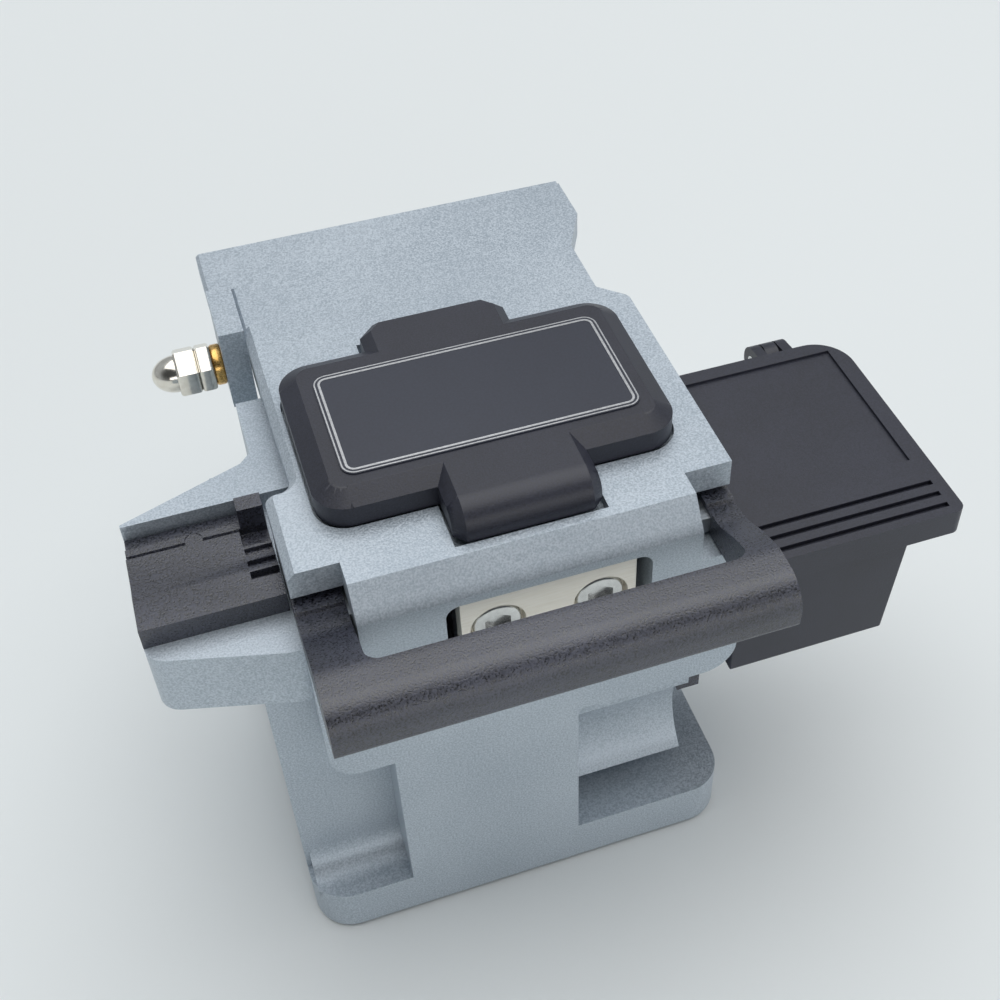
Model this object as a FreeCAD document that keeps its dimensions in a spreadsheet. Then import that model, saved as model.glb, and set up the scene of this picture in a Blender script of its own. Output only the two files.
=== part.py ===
import FreeCAD, Part
import math
import os
import re
import Sketcher

# Fibre cleaver, millimetres, +Z up, +X to the right along the fibre, +Y to the back.
# Every body is drawn with the front wall at Y = 0 and then set back by front_wall_y,
# so the origin is on the table under the middle of the foot.

SIZES = {
    # body casting
    "front_wall_y": -26.0,
    "body_width": 49.4,
    "block_width": 38.2,
    "foot_left": 29.9,
    "foot_right": 25.9,
    "foot_depth": 50.0,
    "foot_gap": 0.6,
    "pad_border": 2.0,
    "foot_top": 7.7,
    "foot_corner": 5.0,
    "flange_bottom": 33.5,
    "flange_corner": 4.0,
    "side_deck": 54.5,
    "rear_deck": 57.0,
    "block_top": 58.9,
    "column_left": 17.5,
    "column_right": 4.8,
    "web_right": 20.9,
    "left_recess": 6.0,
    "right_recess": 4.0,
    "recess_fillet": 4.0,
    "scoop_radius": 10.0,
    "scoop_depth": 8.2,
    "scoop_height": 18.3,
    "slot_height": 3.3,
    "slot_depth": 9.0,
    # wing at the left
    "wing_overhang": 15.7,
    "wing_thickness": 8.5,
    "wing_root_front": 2.6,
    "wing_tip_front": 6.4,
    "wing_tip_rear": 24.4,
    "wing_root_rear": 29.6,
    "wing_corner": 2.6,
    "rebate_depth": 24.0,
    # cavity, window and clamps
    "window_centre": 1.7,
    "window_width": 23.2,
    "window_top": 57.8,
    "window_bottom": 41.2,
    "window_corner": 1.6,
    "wall_thickness": 2.5,
    "cavity_floor": 33.5,
    "rail_clearance": 0.5,
    "rear_wall": 3.5,
    "fibre_line": 19.8,
    "fibre_height": 58.0,
    "fibre_gate": 1.6,
    "clamp_width": 4.6,
    "clamp_length": 6.0,
    "clamp_height": 3.0,
    "clamp_left": 15.2,
    "clamp_right": 16.2,
    "clamp_recess": 1.6,
    "magnet_diameter": 4.6,
    "magnet_height": 3.0,
    "magnet_line": 32.0,
    "magnet_left": 15.6,
    "magnet_right": 16.2,
    "striker_height": 1.5,
    "fit": 0.05,
    # hinge
    "hinge_line": 50.5,
    "axle_diameter": 3.0,
    "knuckle_gap": 0.8,
    "knuckle_radius": 3.6,
    "lug_thickness": 3.1,
    "lug_front": 46.4,
    "lug_rear": 55.8,
    "lug_drop": 4.0,
    "washer_diameter": 5.2,
    "washer_thickness": 1.3,
    "nut_flats": 5.5,
    "lock_nut_height": 1.9,
    "cap_nut_height": 2.7,
    "cap_nut_dome": 3.0,
    "cap_nut_dome_diameter": 4.9,
    "axle_thread": 5.2,
    # lid
    "lid_thickness": 3.6,
    "lid_front": 2.7,
    "ear_front": 5.9,
    "ear_rear": 18.6,
    "ear_corner": 1.4,
    "left_step": 3.1,
    "waist_front": 37.0,
    "waist_step": 3.2,
    "waist_rear": 46.4,
    "tail_front": 54.0,
    "tail_step": 0.5,
    "tail_arc": 70.75,
    "tail_arc_across": 24.1,
    "tail_arc_along": -7.1,
    "panel_step": 0.1,
    "panel_arc": 56.1,
    "panel_arc_across": 16.7,
    "panel_arc_along": -6.7,
    "edge_bevel": 0.9,
    "step_bevel": 0.4,
    "lid_rear": 64.6,
    # press pad
    "pad_centre": 0.35,
    "pad_middle": 22.4,
    "pad_width": 40.7,
    "pad_depth": 24.0,
    "pad_height": 3.9,
    "pad_recess": 1.3,
    "pad_margin": 0.2,
    "pad_travel": 1.0,
    "pad_corner": 3.8,
    "bevel_across": 2.1,
    "bevel_down": 1.3,
    "tab_round": 3.2,
    "strap_clip": 2.0,
    "tab_centre": 1.1,
    "tab_width": 16.6,
    "tab_front": 4.1,
    "strap_centre": -0.4,
    "strap_width": 17.6,
    "strap_rear": 38.9,
    "stem_width": 6.0,
    "stem_depth": 5.0,
    "anvil_width": 4.0,
    "anvil_depth": 3.0,
    "anvil_height": 0.8,
    "guide_pin_diameter": 2.5,
    "guide_pin_reach": 11.5,
    "label_centre": 0.5,
    "label_middle": 22.05,
    "label_width": 33.8,
    "label_depth": 16.5,
    "label_thickness": 0.5,
    "label_corner": 1.6,
    "label_seat": 0.3,
    # slider
    "slide_travel": 5.4,
    "slide_gap": 0.3,
    "bar_front": 12.7,
    "bar_rear": 6.3,
    "bar_crest": 61.2,
    "front_round": 3.6,
    "crest_round": 5.0,
    "lip_round": 1.4,
    "arm_top": 58.0,
    "arm_step": 0.4,
    "arm_rear": 16.0,
    "left_arm": 5.3,
    "right_arm": 3.3,
    "opening_corner": 1.6,
    "yoke_front": 3.3,
    "yoke_depth": 4.0,
    "yoke_height": 2.2,
    "yoke_foot": 55.0,
    "rail_width": 7.0,
    "rail_height": 4.0,
    "rail_front": 3.4,
    "rail_length": 32.6,
    "rail_pitch": 12.0,
    "rail_groove": 0.8,
    "rail_screw_depth": 4.8,
    "screw_sink": 0.5,
    "bearing_width": 17.0,
    "bearing_length": 18.0,
    "bearing_height": 5.0,
    "bearing_lift": 1.5,
    "bearing_front": 6.0,
    "bearing_screw_reach": 7.2,
    "bearing_screw_inset": 4.0,
    "carriage_front": 2.8,
    "carriage_length": 24.0,
    "carriage_width": 19.0,
    "carriage_base": 3.6,
    "cheek_thickness": 4.0,
    "cheek_front": 10.0,
    "cheek_depth": 12.0,
    "plate_width": 19.9,
    "plate_front": 0.5,
    "plate_thickness": 2.3,
    "plate_top": 57.3,
    "plate_bottom": 46.4,
    "plate_screw_pitch": 11.7,
    "plate_screw_height": 52.4,
    "plate_screw_head": 5.5,
    "plate_screw_length": 6.0,
    "counterbore_width": 6.3,
    "counterbore_depth": 1.4,
    "disc_diameter": 17.0,
    "disc_thickness": 2.0,
    "disc_bore": 6.0,
    "disc_centre": 16.0,
    "disc_height": 49.4,
    "disc_edge": 0.7,
    "cap_diameter": 10.0,
    "cap_thickness": 1.2,
    "disc_screw_head": 5.5,
    # guide plate
    "guide_gap": 0.2,
    "guide_front": 8.2,
    "guide_rear": 23.9,
    "guide_top": 57.3,
    "guide_floor": 56.7,
    "channel_front": 15.0,
    "channel_rear": 19.3,
    "rib_front": 20.4,
    "rib_rear": 21.4,
    "rib_top": 56.0,
    "channel_bevel": 2.2,
    "guide_ledge": 54.9,
    "guide_groove": 55.6,
    "guide_block_width": 2.9,
    "guide_block_top": 58.8,
    "pocket_width": 3.5,
    "notch_length": 3.1,
    "notch_width": 1.1,
    "notch_rear": 16.5,
    "notch_pitch": 2.0,
    "notch_depth": 0.5,
    "guide_screw_inset": 8.1,
    "guide_screw_front": 11.5,
    "guide_screw_rear": 20.5,
    # scrap box
    "box_gap": 0.5,
    "box_width": 22.2,
    "box_draft": 1.4,
    "box_front": 1.6,
    "box_rear": 31.6,
    "box_bottom": 30.0,
    "box_wall": 1.4,
    "box_lid_bottom": 47.2,
    "box_lid_top": 50.9,
    "box_lid_width": 27.6,
    "box_lid_front": -0.2,
    "box_lid_rear": 33.6,
    "box_lid_front_corner": 1.2,
    "box_lid_rear_corner": 5.0,
    "lid_recess": 0.4,
    "recess_inset": 2.8,
    "recess_border": 2.2,
    "recess_front": 9.3,
    "recess_rear": 31.0,
    "grip_pitch": 1.9,
    "grip_first": 1.3,
    "grip_width": 0.7,
    "grip_depth": 0.6,
    "grip_border": 1.6,
    "box_hinge_offset": 16.8,
    "box_hinge_width": 5.0,
    "box_hinge_line": 35.5,
    "box_hinge_height": 47.6,
    "box_pin_diameter": 2.0,
    "box_knuckle_radius": 2.2,
    "box_knuckle_width": 1.4,
    "box_knuckle_gap": 0.2,
    "box_web_root": 1.6,
    "box_web_drop": 0.5,
    "box_lug_drop": 3.4,
    "box_lug_root": 6.0,
    "box_lug_overlap": 0.5,
    "box_lug_gap": 0.6,
    "bracket_bottom": 21.0,
    "bracket_front": 7.0,
    "bracket_rear": 28.0,
    "bracket_thickness": 3.0,
    "bracket_reach": 6.0,
    "bracket_screw_inset": 4.0,
    "bracket_screw_depth": 5.5,
    # small fasteners
    "screw_size": 3.0,
    "small_screw": 2.0,
    "small_head": 3.6,
    "small_head_height": 1.6,
}

# The cavity is as long as the rail in it, and the rear wall closes the body behind it.
# The lid lies on the block, the pad on the lid, and the knuckle clears the lid above it.
# The wing, the guide plate, the lid's edges and the scrap box lie off the body's sides.
FOLLOWING = {
    "wing_reach": "=body_width / 2 + wing_overhang",
    "guide_right": "=body_width / 2 + guide_gap",
    "guide_block": "=guide_right + guide_block_width",
    "guide_screw_reach": "=guide_right + guide_screw_inset",
    "left_edge": "=body_width / 2 - left_step",
    "waist_reach": "=body_width / 2 - waist_step",
    "knuckle_left": "=body_width / 2 - lug_thickness - slide_gap",
    "knuckle_right": "=waist_reach - lug_thickness - knuckle_gap",
    "opening_left": "=body_width / 2 - left_arm",
    "opening_right": "=body_width / 2 - right_arm",
    "box_left": "=body_width / 2 + box_gap",
    "box_right_top": "=box_left + box_width",
    "box_right_bottom": "=box_right_top - box_draft",
    "box_lid_right": "=box_left + box_lid_width",
    "box_hinge_left": "=box_left + box_hinge_offset",
    "box_hinge_right": "=box_hinge_left + box_hinge_width",
    "recess_left": "=box_left + recess_inset",
    "recess_right": "=box_lid_right - recess_border",
    "grip_left": "=recess_left",
    "grip_right": "=box_lid_right - grip_border",
    "cavity_rear": "=rail_front + rail_length + rail_clearance",
    "body_depth": "=cavity_rear + rear_wall",
    "lid_top": "=block_top + lid_thickness",
    "pad_top": "=lid_top + pad_height",
    "hinge_height": "=block_top - slide_gap - knuckle_radius",
    "lug_bottom": "=hinge_height - lug_drop",
}

doc = FreeCAD.newDocument("FibreCleaver")
sheet = doc.addObject("Spreadsheet::Sheet", "Dimensions")
for row, (alias, value) in enumerate((SIZES | FOLLOWING).items(), start=1):
    sheet.set("A%d" % row, alias.replace("_", " "))
    sheet.set("B%d" % row, str(value))
    sheet.setAlias("B%d" % row, alias)
doc.recompute()

WORD = re.compile(r"[a-z]+(?:_[a-z]+)+|\bfit\b")
NODES = []


def bound(text):
    """Return an expression in which every size name points at its cell."""
    text = str(text)
    return WORD.sub(lambda match: "Dimensions." + match.group(0), text)


def set_size(item, path, text):
    item.setExpression(path, bound(text))


def new_body(label):
    """A body whose front wall plane is set back to front_wall_y."""
    body = doc.addObject("PartDesign::Body", label)
    body.Label = label
    body.AllowCompound = True
    set_size(body, "Placement.Base.y", "front_wall_y")
    NODES.append(body)
    return body


def origin_plane(body, role):
    return [item for item in body.Origin.OriginFeatures if item.Role == role][0]


def new_sketch(body, name, plane, at):
    """A sketch on one of the body's planes, moved along the plane's world axis to at."""
    sketch = body.newObject("Sketcher::SketchObject", name)
    sketch.AttachmentSupport = [(origin_plane(body, plane + "_Plane"), "")]
    sketch.MapMode = "FlatFace"
    sign = "-" if plane == "XZ" else ""
    set_size(sketch, "AttachmentOffset.Base.z", "%s(%s)" % (sign, at))
    return sketch


def fix_point(sketch, geo, end, across, along):
    """Tie one point of the sketch to two size expressions."""
    for kind, text, tag in (("DistanceX", across, "x"), ("DistanceY", along, "y")):
        number = sketch.addConstraint(Sketcher.Constraint(kind, -1, 1, geo, end, 1.0))
        name = "%s%d_%d" % (tag, geo, end)
        sketch.renameConstraint(number, name)
        sketch.setExpression("Constraints." + name, bound(text))


def draw_outline(sketch, corners):
    """A closed outline of straight edges through corners given as expressions."""
    count = len(corners)
    first = sketch.GeometryCount
    spots = []
    for index in range(count):
        turn = 2.0 * math.pi * index / count
        spots.append(FreeCAD.Vector(40.0 * math.cos(turn), 40.0 * math.sin(turn), 0.0))
    for index in range(count):
        line = Part.LineSegment(spots[index], spots[(index + 1) % count])
        sketch.addGeometry(line, False)
    for index in range(count):
        following = first + (index + 1) % count
        joint = Sketcher.Constraint("Coincident", first + index, 2, following, 1)
        sketch.addConstraint(joint)
    for index, (across, along) in enumerate(corners):
        fix_point(sketch, first + index, 1, across, along)


def draw_circle(sketch, across, along, radius):
    """A full circle whose centre and radius are expressions."""
    circle = Part.Circle(FreeCAD.Vector(3.0, 3.0, 0.0), FreeCAD.Vector(0, 0, 1), 2.0)
    geo = sketch.addGeometry(circle, False)
    fix_point(sketch, geo, 3, across, along)
    number = sketch.addConstraint(Sketcher.Constraint("Radius", geo, 2.0))
    name = "radius%d" % geo
    sketch.renameConstraint(number, name)
    sketch.setExpression("Constraints." + name, bound(radius))


def draw_rounded(sketch, left, right, low, high, radius):
    """A rectangle with four tangent corner arcs, sides and radius as expressions."""
    first = sketch.GeometryCount
    ends = [((-30, -40), (30, -40)), ((40, -30), (40, 30)),
            ((30, 40), (-30, 40)), ((-40, 30), (-40, -30))]
    centres = [(30, -30), (30, 30), (-30, 30), (-30, -30)]
    for index, (start, end) in enumerate(ends):
        sketch.addGeometry(Part.LineSegment(FreeCAD.Vector(*start, 0),
                                            FreeCAD.Vector(*end, 0)), False)
        circle = Part.Circle(FreeCAD.Vector(*centres[index], 0), FreeCAD.Vector(0, 0, 1), 10.0)
        start_angle = math.radians(90.0 * index - 90.0)
        sketch.addGeometry(Part.ArcOfCircle(circle, start_angle, start_angle + math.pi / 2.0),
                           False)
    for index in range(8):
        following = first + (index + 1) % 8
        sketch.addConstraint(Sketcher.Constraint("Tangent", first + index, 2, following, 1))
    for geo, kind in ((0, "Horizontal"), (2, "Vertical"), (4, "Horizontal"), (6, "Vertical")):
        sketch.addConstraint(Sketcher.Constraint(kind, first + geo))
    for geo in (3, 5, 7):
        sketch.addConstraint(Sketcher.Constraint("Equal", first + 1, first + geo))
    for kind, geo, text, tag in (("DistanceY", 0, low, "low"), ("DistanceX", 2, right, "right"),
                                 ("DistanceY", 4, high, "high"), ("DistanceX", 6, left, "left")):
        number = sketch.addConstraint(Sketcher.Constraint(kind, -1, 1, first + geo, 1, 5.0))
        sketch.renameConstraint(number, "%s%d" % (tag, first))
        sketch.setExpression("Constraints.%s%d" % (tag, first), bound(text))
    number = sketch.addConstraint(Sketcher.Constraint("Radius", first + 1, 10.0))
    sketch.renameConstraint(number, "corner%d" % first)
    sketch.setExpression("Constraints.corner%d" % first, bound(radius))


def rounded(body, kind, name, plane, at, length, left, right, low, high, radius, taper=None):
    """Extrude a rounded rectangle; taper is the lean of the sides in degrees."""
    sketch = new_sketch(body, name + "_sketch", plane, at)
    draw_rounded(sketch, left, right, low, high, radius)
    feature = run_feature(body, kind, name, sketch, plane, length)
    if taper is not None:
        set_size(feature, "TaperAngle", taper)
        doc.recompute()
        built(feature)
    return feature


def rectangle(left, right, low, high):
    return [(left, low), (right, low), (right, high), (left, high)]


def run_feature(body, kind, name, sketch, plane, length):
    """Pad or pocket the sketch towards the positive world axis of its plane."""
    before = volume_of(body)
    feature = body.newObject("PartDesign::" + kind, name)
    feature.Profile = sketch
    against = plane == "XZ"
    feature.Reversed = against if kind == "Pad" else not against
    set_size(feature, "Length", length)
    body.Tip = feature
    doc.recompute()
    built(feature)
    after = volume_of(body)
    changed = after > before if kind == "Pad" else after < before
    if not changed:
        raise ValueError("%s in %s changes nothing" % (name, body.Label))
    return feature


def built(feature):
    """Stop at a feature that did not build, with its own message."""
    if "Invalid" in feature.State or "Error" in feature.State:
        raise ValueError("%s: %s" % (feature.Name, feature.getStatusString()))
    return feature


def volume_of(body):
    shape = body.Shape
    return 0.0 if shape.isNull() else shape.Volume


def prism(body, kind, name, plane, at, length, *outlines):
    """Extrude straight-edged outlines from at, by length, along the plane's world axis."""
    sketch = new_sketch(body, name + "_sketch", plane, at)
    for corners in outlines:
        draw_outline(sketch, corners)
    return run_feature(body, kind, name, sketch, plane, length)


def rod(body, kind, name, plane, at, length, *circles):
    """Extrude circles (centre, centre, radius) along the plane's world axis."""
    sketch = new_sketch(body, name + "_sketch", plane, at)
    for across, along, radius in circles:
        draw_circle(sketch, across, along, radius)
    return run_feature(body, kind, name, sketch, plane, length)


def at_each(places, radius):
    """Circles of one radius at each of the places."""
    return [(across, along, radius) for across, along in places]


def turn(body, kind, name, plane, axis_at, corners):
    """Revolve an outline about a construction line parallel to the plane's first axis."""
    sketch = new_sketch(body, name + "_sketch", plane[0], plane[1])
    draw_outline(sketch, corners)
    line = Part.LineSegment(FreeCAD.Vector(-9, 1, 0), FreeCAD.Vector(9, 1, 0))
    geo = sketch.addGeometry(line, True)
    fix_point(sketch, geo, 1, "-80", axis_at)
    fix_point(sketch, geo, 2, "80", axis_at)
    feature = body.newObject("PartDesign::" + kind, name)
    feature.Profile = sketch
    feature.ReferenceAxis = (sketch, ["Axis0"])
    feature.Angle = 360.0
    body.Tip = feature
    doc.recompute()
    return built(feature)


def edges_where(shape, test):
    """Names of the straight or curved edges that a test of the edge accepts."""
    return ["Edge%d" % (i + 1) for i, edge in enumerate(shape.Edges) if test(edge)]


def along_axis(edge, axis):
    if edge.Curve.TypeId != "Part::GeomLine":
        return False
    return abs(abs(edge.Curve.Direction[axis]) - 1.0) < 1e-6


def passes(edge, axis, first, second, reach):
    """True if an edge along an axis passes near the two other coordinates."""
    if not along_axis(edge, axis):
        return False
    middle = edge.CenterOfMass
    others = [middle[i] for i in range(3) if i != axis]
    return math.hypot(others[0] - first, others[1] - second) < reach


def dress(body, kind, name, size, edges):
    """Fillet or chamfer the named edges of the body's tip."""
    if not edges:
        raise ValueError("%s in %s finds no edge" % (name, body.Label))
    base = body.Tip
    feature = body.newObject("PartDesign::" + kind, name)
    feature.Base = (base, edges)
    set_size(feature, "Radius" if kind == "Fillet" else "Size", size)
    body.Tip = feature
    doc.recompute()
    return built(feature)


def soften(body, kind, name, size, axis, spots, reach=0.6):
    """Round or bevel the edges along an axis that pass near the given spots."""
    shape = body.Tip.Shape
    names = []
    for first, second in spots:
        found = edges_where(shape, lambda e: passes(e, axis, first, second, reach))
        if not found:
            raise ValueError("%s in %s: no edge at %s" % (name, body.Label, (first, second)))
        names.extend(found)
    return dress(body, kind, name, size, names)


def val(alias):
    return float(sheet.get(alias))


def top_edges(shape, height, axis=2):
    """Edges that lie wholly at one height."""
    def flat(edge):
        box = edge.BoundBox
        low = (box.XMin, box.YMin, box.ZMin)[axis]
        high = (box.XMax, box.YMax, box.ZMax)[axis]
        return abs(low - height) < 0.01 and abs(high - height) < 0.01
    return edges_where(shape, flat)


half_body = val("body_width") / 2.0
half_block = val("block_width") / 2.0

# ---------------------------------------------------------------- places of the fasteners
rail_places = [("window_centre", "rail_front + rail_length / 2 %s rail_pitch" % sign)
               for sign in "-+"]
guide_places = [("-guide_screw_reach", along) for along in ("guide_screw_front",
                                                            "guide_screw_rear")]
bracket_places = [(along, "bracket_bottom + bracket_screw_inset")
                  for along in ("bracket_front + bracket_screw_inset",
                                "bracket_rear - bracket_screw_inset")]
bearing_places, right_bearing_places = [
    [("window_centre %s bearing_screw_reach" % sign, along)
     for along in ("bearing_front + bearing_screw_inset",
                   "bearing_front + bearing_length - bearing_screw_inset")]
    for sign in "-+"]
plate_places = [("window_centre %s plate_screw_pitch / 2" % sign, "plate_screw_height")
                for sign in "-+"]
magnet_places = [("-magnet_left", "magnet_line"), ("magnet_right", "magnet_line")]
pin_places = [("pad_centre %s guide_pin_reach" % sign, "pad_middle") for sign in "-+"]

# ---------------------------------------------------------------- base body
body = new_body("base_body")
prism(body, "Pad", "Foot", "XY", "foot_gap", "foot_top - foot_gap",
      rectangle("-foot_left", "foot_right", "0", "foot_depth"))
soften(body, "Fillet", "FootCorners", "foot_corner", 2,
       [(-val("foot_left"), 0.0), (val("foot_right"), 0.0),
        (-val("foot_left"), val("foot_depth")), (val("foot_right"), val("foot_depth"))])
prism(body, "Pad", "WebLeft", "XY", "foot_top - 1", "side_deck - wing_thickness - foot_top + 1",
      rectangle("-foot_left", "-column_left + 2", "left_recess", "body_depth"))
prism(body, "Pad", "WebRight", "XY", "foot_top - 1", "flange_bottom - foot_top + 2",
      rectangle("-column_left", "web_right", "right_recess", "body_depth"))
prism(body, "Pad", "RecessCove", "YZ", "-foot_left + 0.6", "foot_left - column_left",
      rectangle("left_recess - recess_fillet", "left_recess + 1",
                "foot_top - 1", "foot_top + recess_fillet"))
rod(body, "Pocket", "CoveArc", "YZ", "-foot_left", "foot_left - column_left + 1",
    ("left_recess - recess_fillet", "foot_top + recess_fillet", "recess_fillet"))
prism(body, "Pad", "Column", "XY", "foot_top - 1", "flange_bottom - foot_top + 2",
      rectangle("-column_left", "column_right", "0", "right_recess + 3"))
rod(body, "Pocket", "Scoop", "YZ", "column_right", "web_right - column_right + 1",
    ("scoop_depth - scoop_radius", "scoop_height", "scoop_radius"))
prism(body, "Pocket", "SlotUnderScoop", "XY", "foot_top", "slot_height",
      rectangle("column_right", "web_right + 1", "right_recess - 1", "right_recess + slot_depth"))
prism(body, "Pad", "Flange", "XZ", "0", "body_depth",
      rectangle("-body_width / 2", "body_width / 2", "flange_bottom", "side_deck"))
soften(body, "Fillet", "FlangeCorners", "flange_corner", 1,
       [(-half_body, val("flange_bottom")), (half_body, val("flange_bottom"))])
prism(body, "Pad", "Wing", "XY", "side_deck - wing_thickness", "wing_thickness",
      [("-block_width / 2", "wing_root_front"),
       ("-body_width / 2 - 1.3", "wing_root_front"),
       ("-wing_reach", "wing_tip_front"),
       ("-wing_reach", "wing_tip_rear"),
       ("-body_width / 2 - 1.3", "wing_root_rear"),
       ("-block_width / 2", "wing_root_rear + 4")])
soften(body, "Fillet", "WingCorners", "wing_corner", 2,
       [(-val("wing_reach"), val("wing_tip_front"))])
prism(body, "Pad", "RearDeck", "XY", "side_deck - 1", "rear_deck - side_deck + 1",
      [("-wing_reach", "rebate_depth"),
       ("body_width / 2", "rebate_depth"),
       ("body_width / 2", "body_depth"),
       ("-body_width / 2", "body_depth"),
       ("-body_width / 2", "wing_root_rear + 1.4"),
       ("-body_width / 2 - 1.3", "wing_root_rear"),
       ("-wing_reach", "wing_tip_rear")])
prism(body, "Pad", "CentreBlock", "XY", "side_deck - 1", "block_top - side_deck + 1",
      rectangle("-block_width / 2", "block_width / 2", "0", "body_depth"))
prism(body, "Pad", "HingeArm", "XZ", "body_depth - 1", "hinge_line - body_depth + 1",
      rectangle("-knuckle_left", "knuckle_right",
                "hinge_height - knuckle_radius", "hinge_height + 1"))
rod(body, "Pad", "HingeKnuckle", "YZ", "-knuckle_left", "knuckle_left + knuckle_right",
    ("hinge_line", "hinge_height", "knuckle_radius"))
rod(body, "Pocket", "HingeBore", "YZ", "-knuckle_left - 1",
    "knuckle_left + knuckle_right + 2",
    ("hinge_line", "hinge_height", "axle_diameter / 2"))
prism(body, "Pocket", "Cavity", "XY", "cavity_floor", "block_top - cavity_floor + 1",
      rectangle("window_centre - window_width / 2", "window_centre + window_width / 2",
                "wall_thickness", "cavity_rear"))
prism(body, "Pocket", "Window", "XZ", "-1", "wall_thickness + 2",
      rectangle("window_centre - window_width / 2", "window_centre + window_width / 2",
                "window_bottom", "window_top"))
window_left = val("window_centre") - val("window_width") / 2.0
window_right = val("window_centre") + val("window_width") / 2.0
soften(body, "Fillet", "WindowCorners", "window_corner", 1,
       [(window_left, val("window_top")), (window_right, val("window_top")),
        (window_left, val("window_bottom")), (window_right, val("window_bottom"))])
prism(body, "Pocket", "YokeSlots", "XY", "yoke_foot - slide_gap",
      "yoke_height + 2 * slide_gap",
      rectangle("-block_width / 2 - 1", "block_width / 2 + 1",
                "yoke_front - slide_gap", "yoke_front + yoke_depth + slide_travel + slide_gap"))
prism(body, "Pocket", "FibreGate", "XY", "fibre_height - clamp_recess / 2",
      "block_top - fibre_height + clamp_recess / 2 + 1",
      rectangle("-body_width / 2", "body_width / 2",
                "fibre_line - fibre_gate / 2", "fibre_line + fibre_gate / 2"))
prism(body, "Pocket", "ClampSeats", "XY", "fibre_height - clamp_height",
      "block_top - fibre_height + clamp_height + 1",
      rectangle("-clamp_left - clamp_width / 2", "-clamp_left + clamp_width / 2",
                "fibre_line - clamp_length / 2", "fibre_line + clamp_length / 2"),
      rectangle("clamp_right - clamp_width / 2", "clamp_right + clamp_width / 2",
                "fibre_line - clamp_length / 2", "fibre_line + clamp_length / 2"))
rod(body, "Pocket", "MagnetSeats", "XY", "block_top - magnet_height", "magnet_height + 1",
    *at_each(magnet_places, "magnet_diameter / 2"))
rod(body, "Pocket", "RailScrewHoles", "XY", "cavity_floor - rail_screw_depth - 0.2",
    "rail_screw_depth + 1.2",
    *at_each(rail_places, "small_screw / 2"))
rod(body, "Pocket", "GuideScrewHoles", "XY", "side_deck - wing_thickness - 1",
    "wing_thickness + 2",
    *at_each(guide_places, "small_screw / 2 + fit"))
rod(body, "Pocket", "GuideScrewCounterbores", "XY", "side_deck - wing_thickness - 1",
    "small_head_height + 1.4",
    *at_each(guide_places, "small_head / 2 + fit"))
rod(body, "Pocket", "BracketScrewHoles", "YZ", "web_right - bracket_screw_depth - 0.5",
    "bracket_screw_depth + 1.5",
    *at_each(bracket_places, "small_screw / 2"))

# ---------------------------------------------------------------- rubber base pad
body = new_body("rubber_base_pad")
prism(body, "Pad", "Sheet", "XY", "0", "foot_gap",
      rectangle("-foot_left + pad_border", "foot_right - pad_border",
                "pad_border", "foot_depth - pad_border"))
soften(body, "Fillet", "SheetCorners", "foot_corner - pad_border / 2", 2,
       [(-val("foot_left") + val("pad_border"), val("pad_border")),
        (val("foot_right") - val("pad_border"), val("pad_border")),
        (-val("foot_left") + val("pad_border"), val("foot_depth") - val("pad_border")),
        (val("foot_right") - val("pad_border"), val("foot_depth") - val("pad_border"))])

# ---------------------------------------------------------------- fibre guide plate
body = new_body("fibre_guide_plate")
prism(body, "Pad", "Profile", "YZ", "-wing_reach", "wing_reach - guide_right",
      [("guide_front", "side_deck"), ("guide_rear", "side_deck"),
       ("guide_rear", "guide_ledge"), ("rib_rear + 0.3", "guide_ledge"),
       ("rib_rear", "rib_top"), ("rib_front", "rib_top"),
       ("rib_front - 0.3", "guide_groove"), ("channel_rear", "guide_groove"),
       ("channel_rear", "guide_floor"), ("channel_front", "guide_floor"),
       ("channel_front - channel_bevel", "guide_top"), ("guide_front", "guide_top")])
prism(body, "Pad", "EndBlock", "XY", "side_deck", "guide_block_top - side_deck",
      rectangle("-guide_block", "-guide_right", "rib_front", "guide_rear - 1.4"))
prism(body, "Pocket", "EndPocket", "XY", "guide_ledge", "4",
      rectangle("-guide_right - notch_length", "-guide_right + 1",
                "rib_front - pocket_width", "rib_front"))
prism(body, "Pocket", "EndNotches", "XY", "guide_floor - notch_depth", "3",
      *[rectangle("-guide_right - notch_length", "-guide_right + 1",
                  "notch_rear - %d * notch_pitch - notch_width" % index,
                  "notch_rear - %d * notch_pitch" % index) for index in range(3)])
rod(body, "Pocket", "ScrewHoles", "XY", "side_deck - 1", "2.8",
    *at_each(guide_places, "small_screw / 2"))

body = new_body("guide_plate_screws")
rod(body, "Pad", "Heads", "XY", "side_deck - wing_thickness + 0.3", "small_head_height",
    *at_each(guide_places, "small_head / 2"))
rod(body, "Pad", "Shanks", "XY", "side_deck - wing_thickness + 0.3 + small_head_height - 0.2",
    "wing_thickness - small_head_height + 1.3",
    *at_each(guide_places, "small_screw / 2"))

# ---------------------------------------------------------------- clamps and magnets
for side, centre in (("left", "-clamp_left"), ("right", "clamp_right")):
    body = new_body("lower_clamp_" + side)
    prism(body, "Pad", "Block", "XY", "fibre_height - clamp_height", "clamp_height",
          rectangle(centre + " - clamp_width / 2", centre + " + clamp_width / 2",
                    "fibre_line - clamp_length / 2", "fibre_line + clamp_length / 2"))
    body = new_body("upper_clamp_" + side)
    prism(body, "Pad", "Block", "XY", "fibre_height", "block_top - fibre_height + clamp_recess",
          rectangle(centre + " - clamp_width / 2 + 0.3", centre + " + clamp_width / 2 - 0.3",
                    "fibre_line - clamp_length / 2 + 0.3",
                    "fibre_line + clamp_length / 2 - 0.3"))

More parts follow.
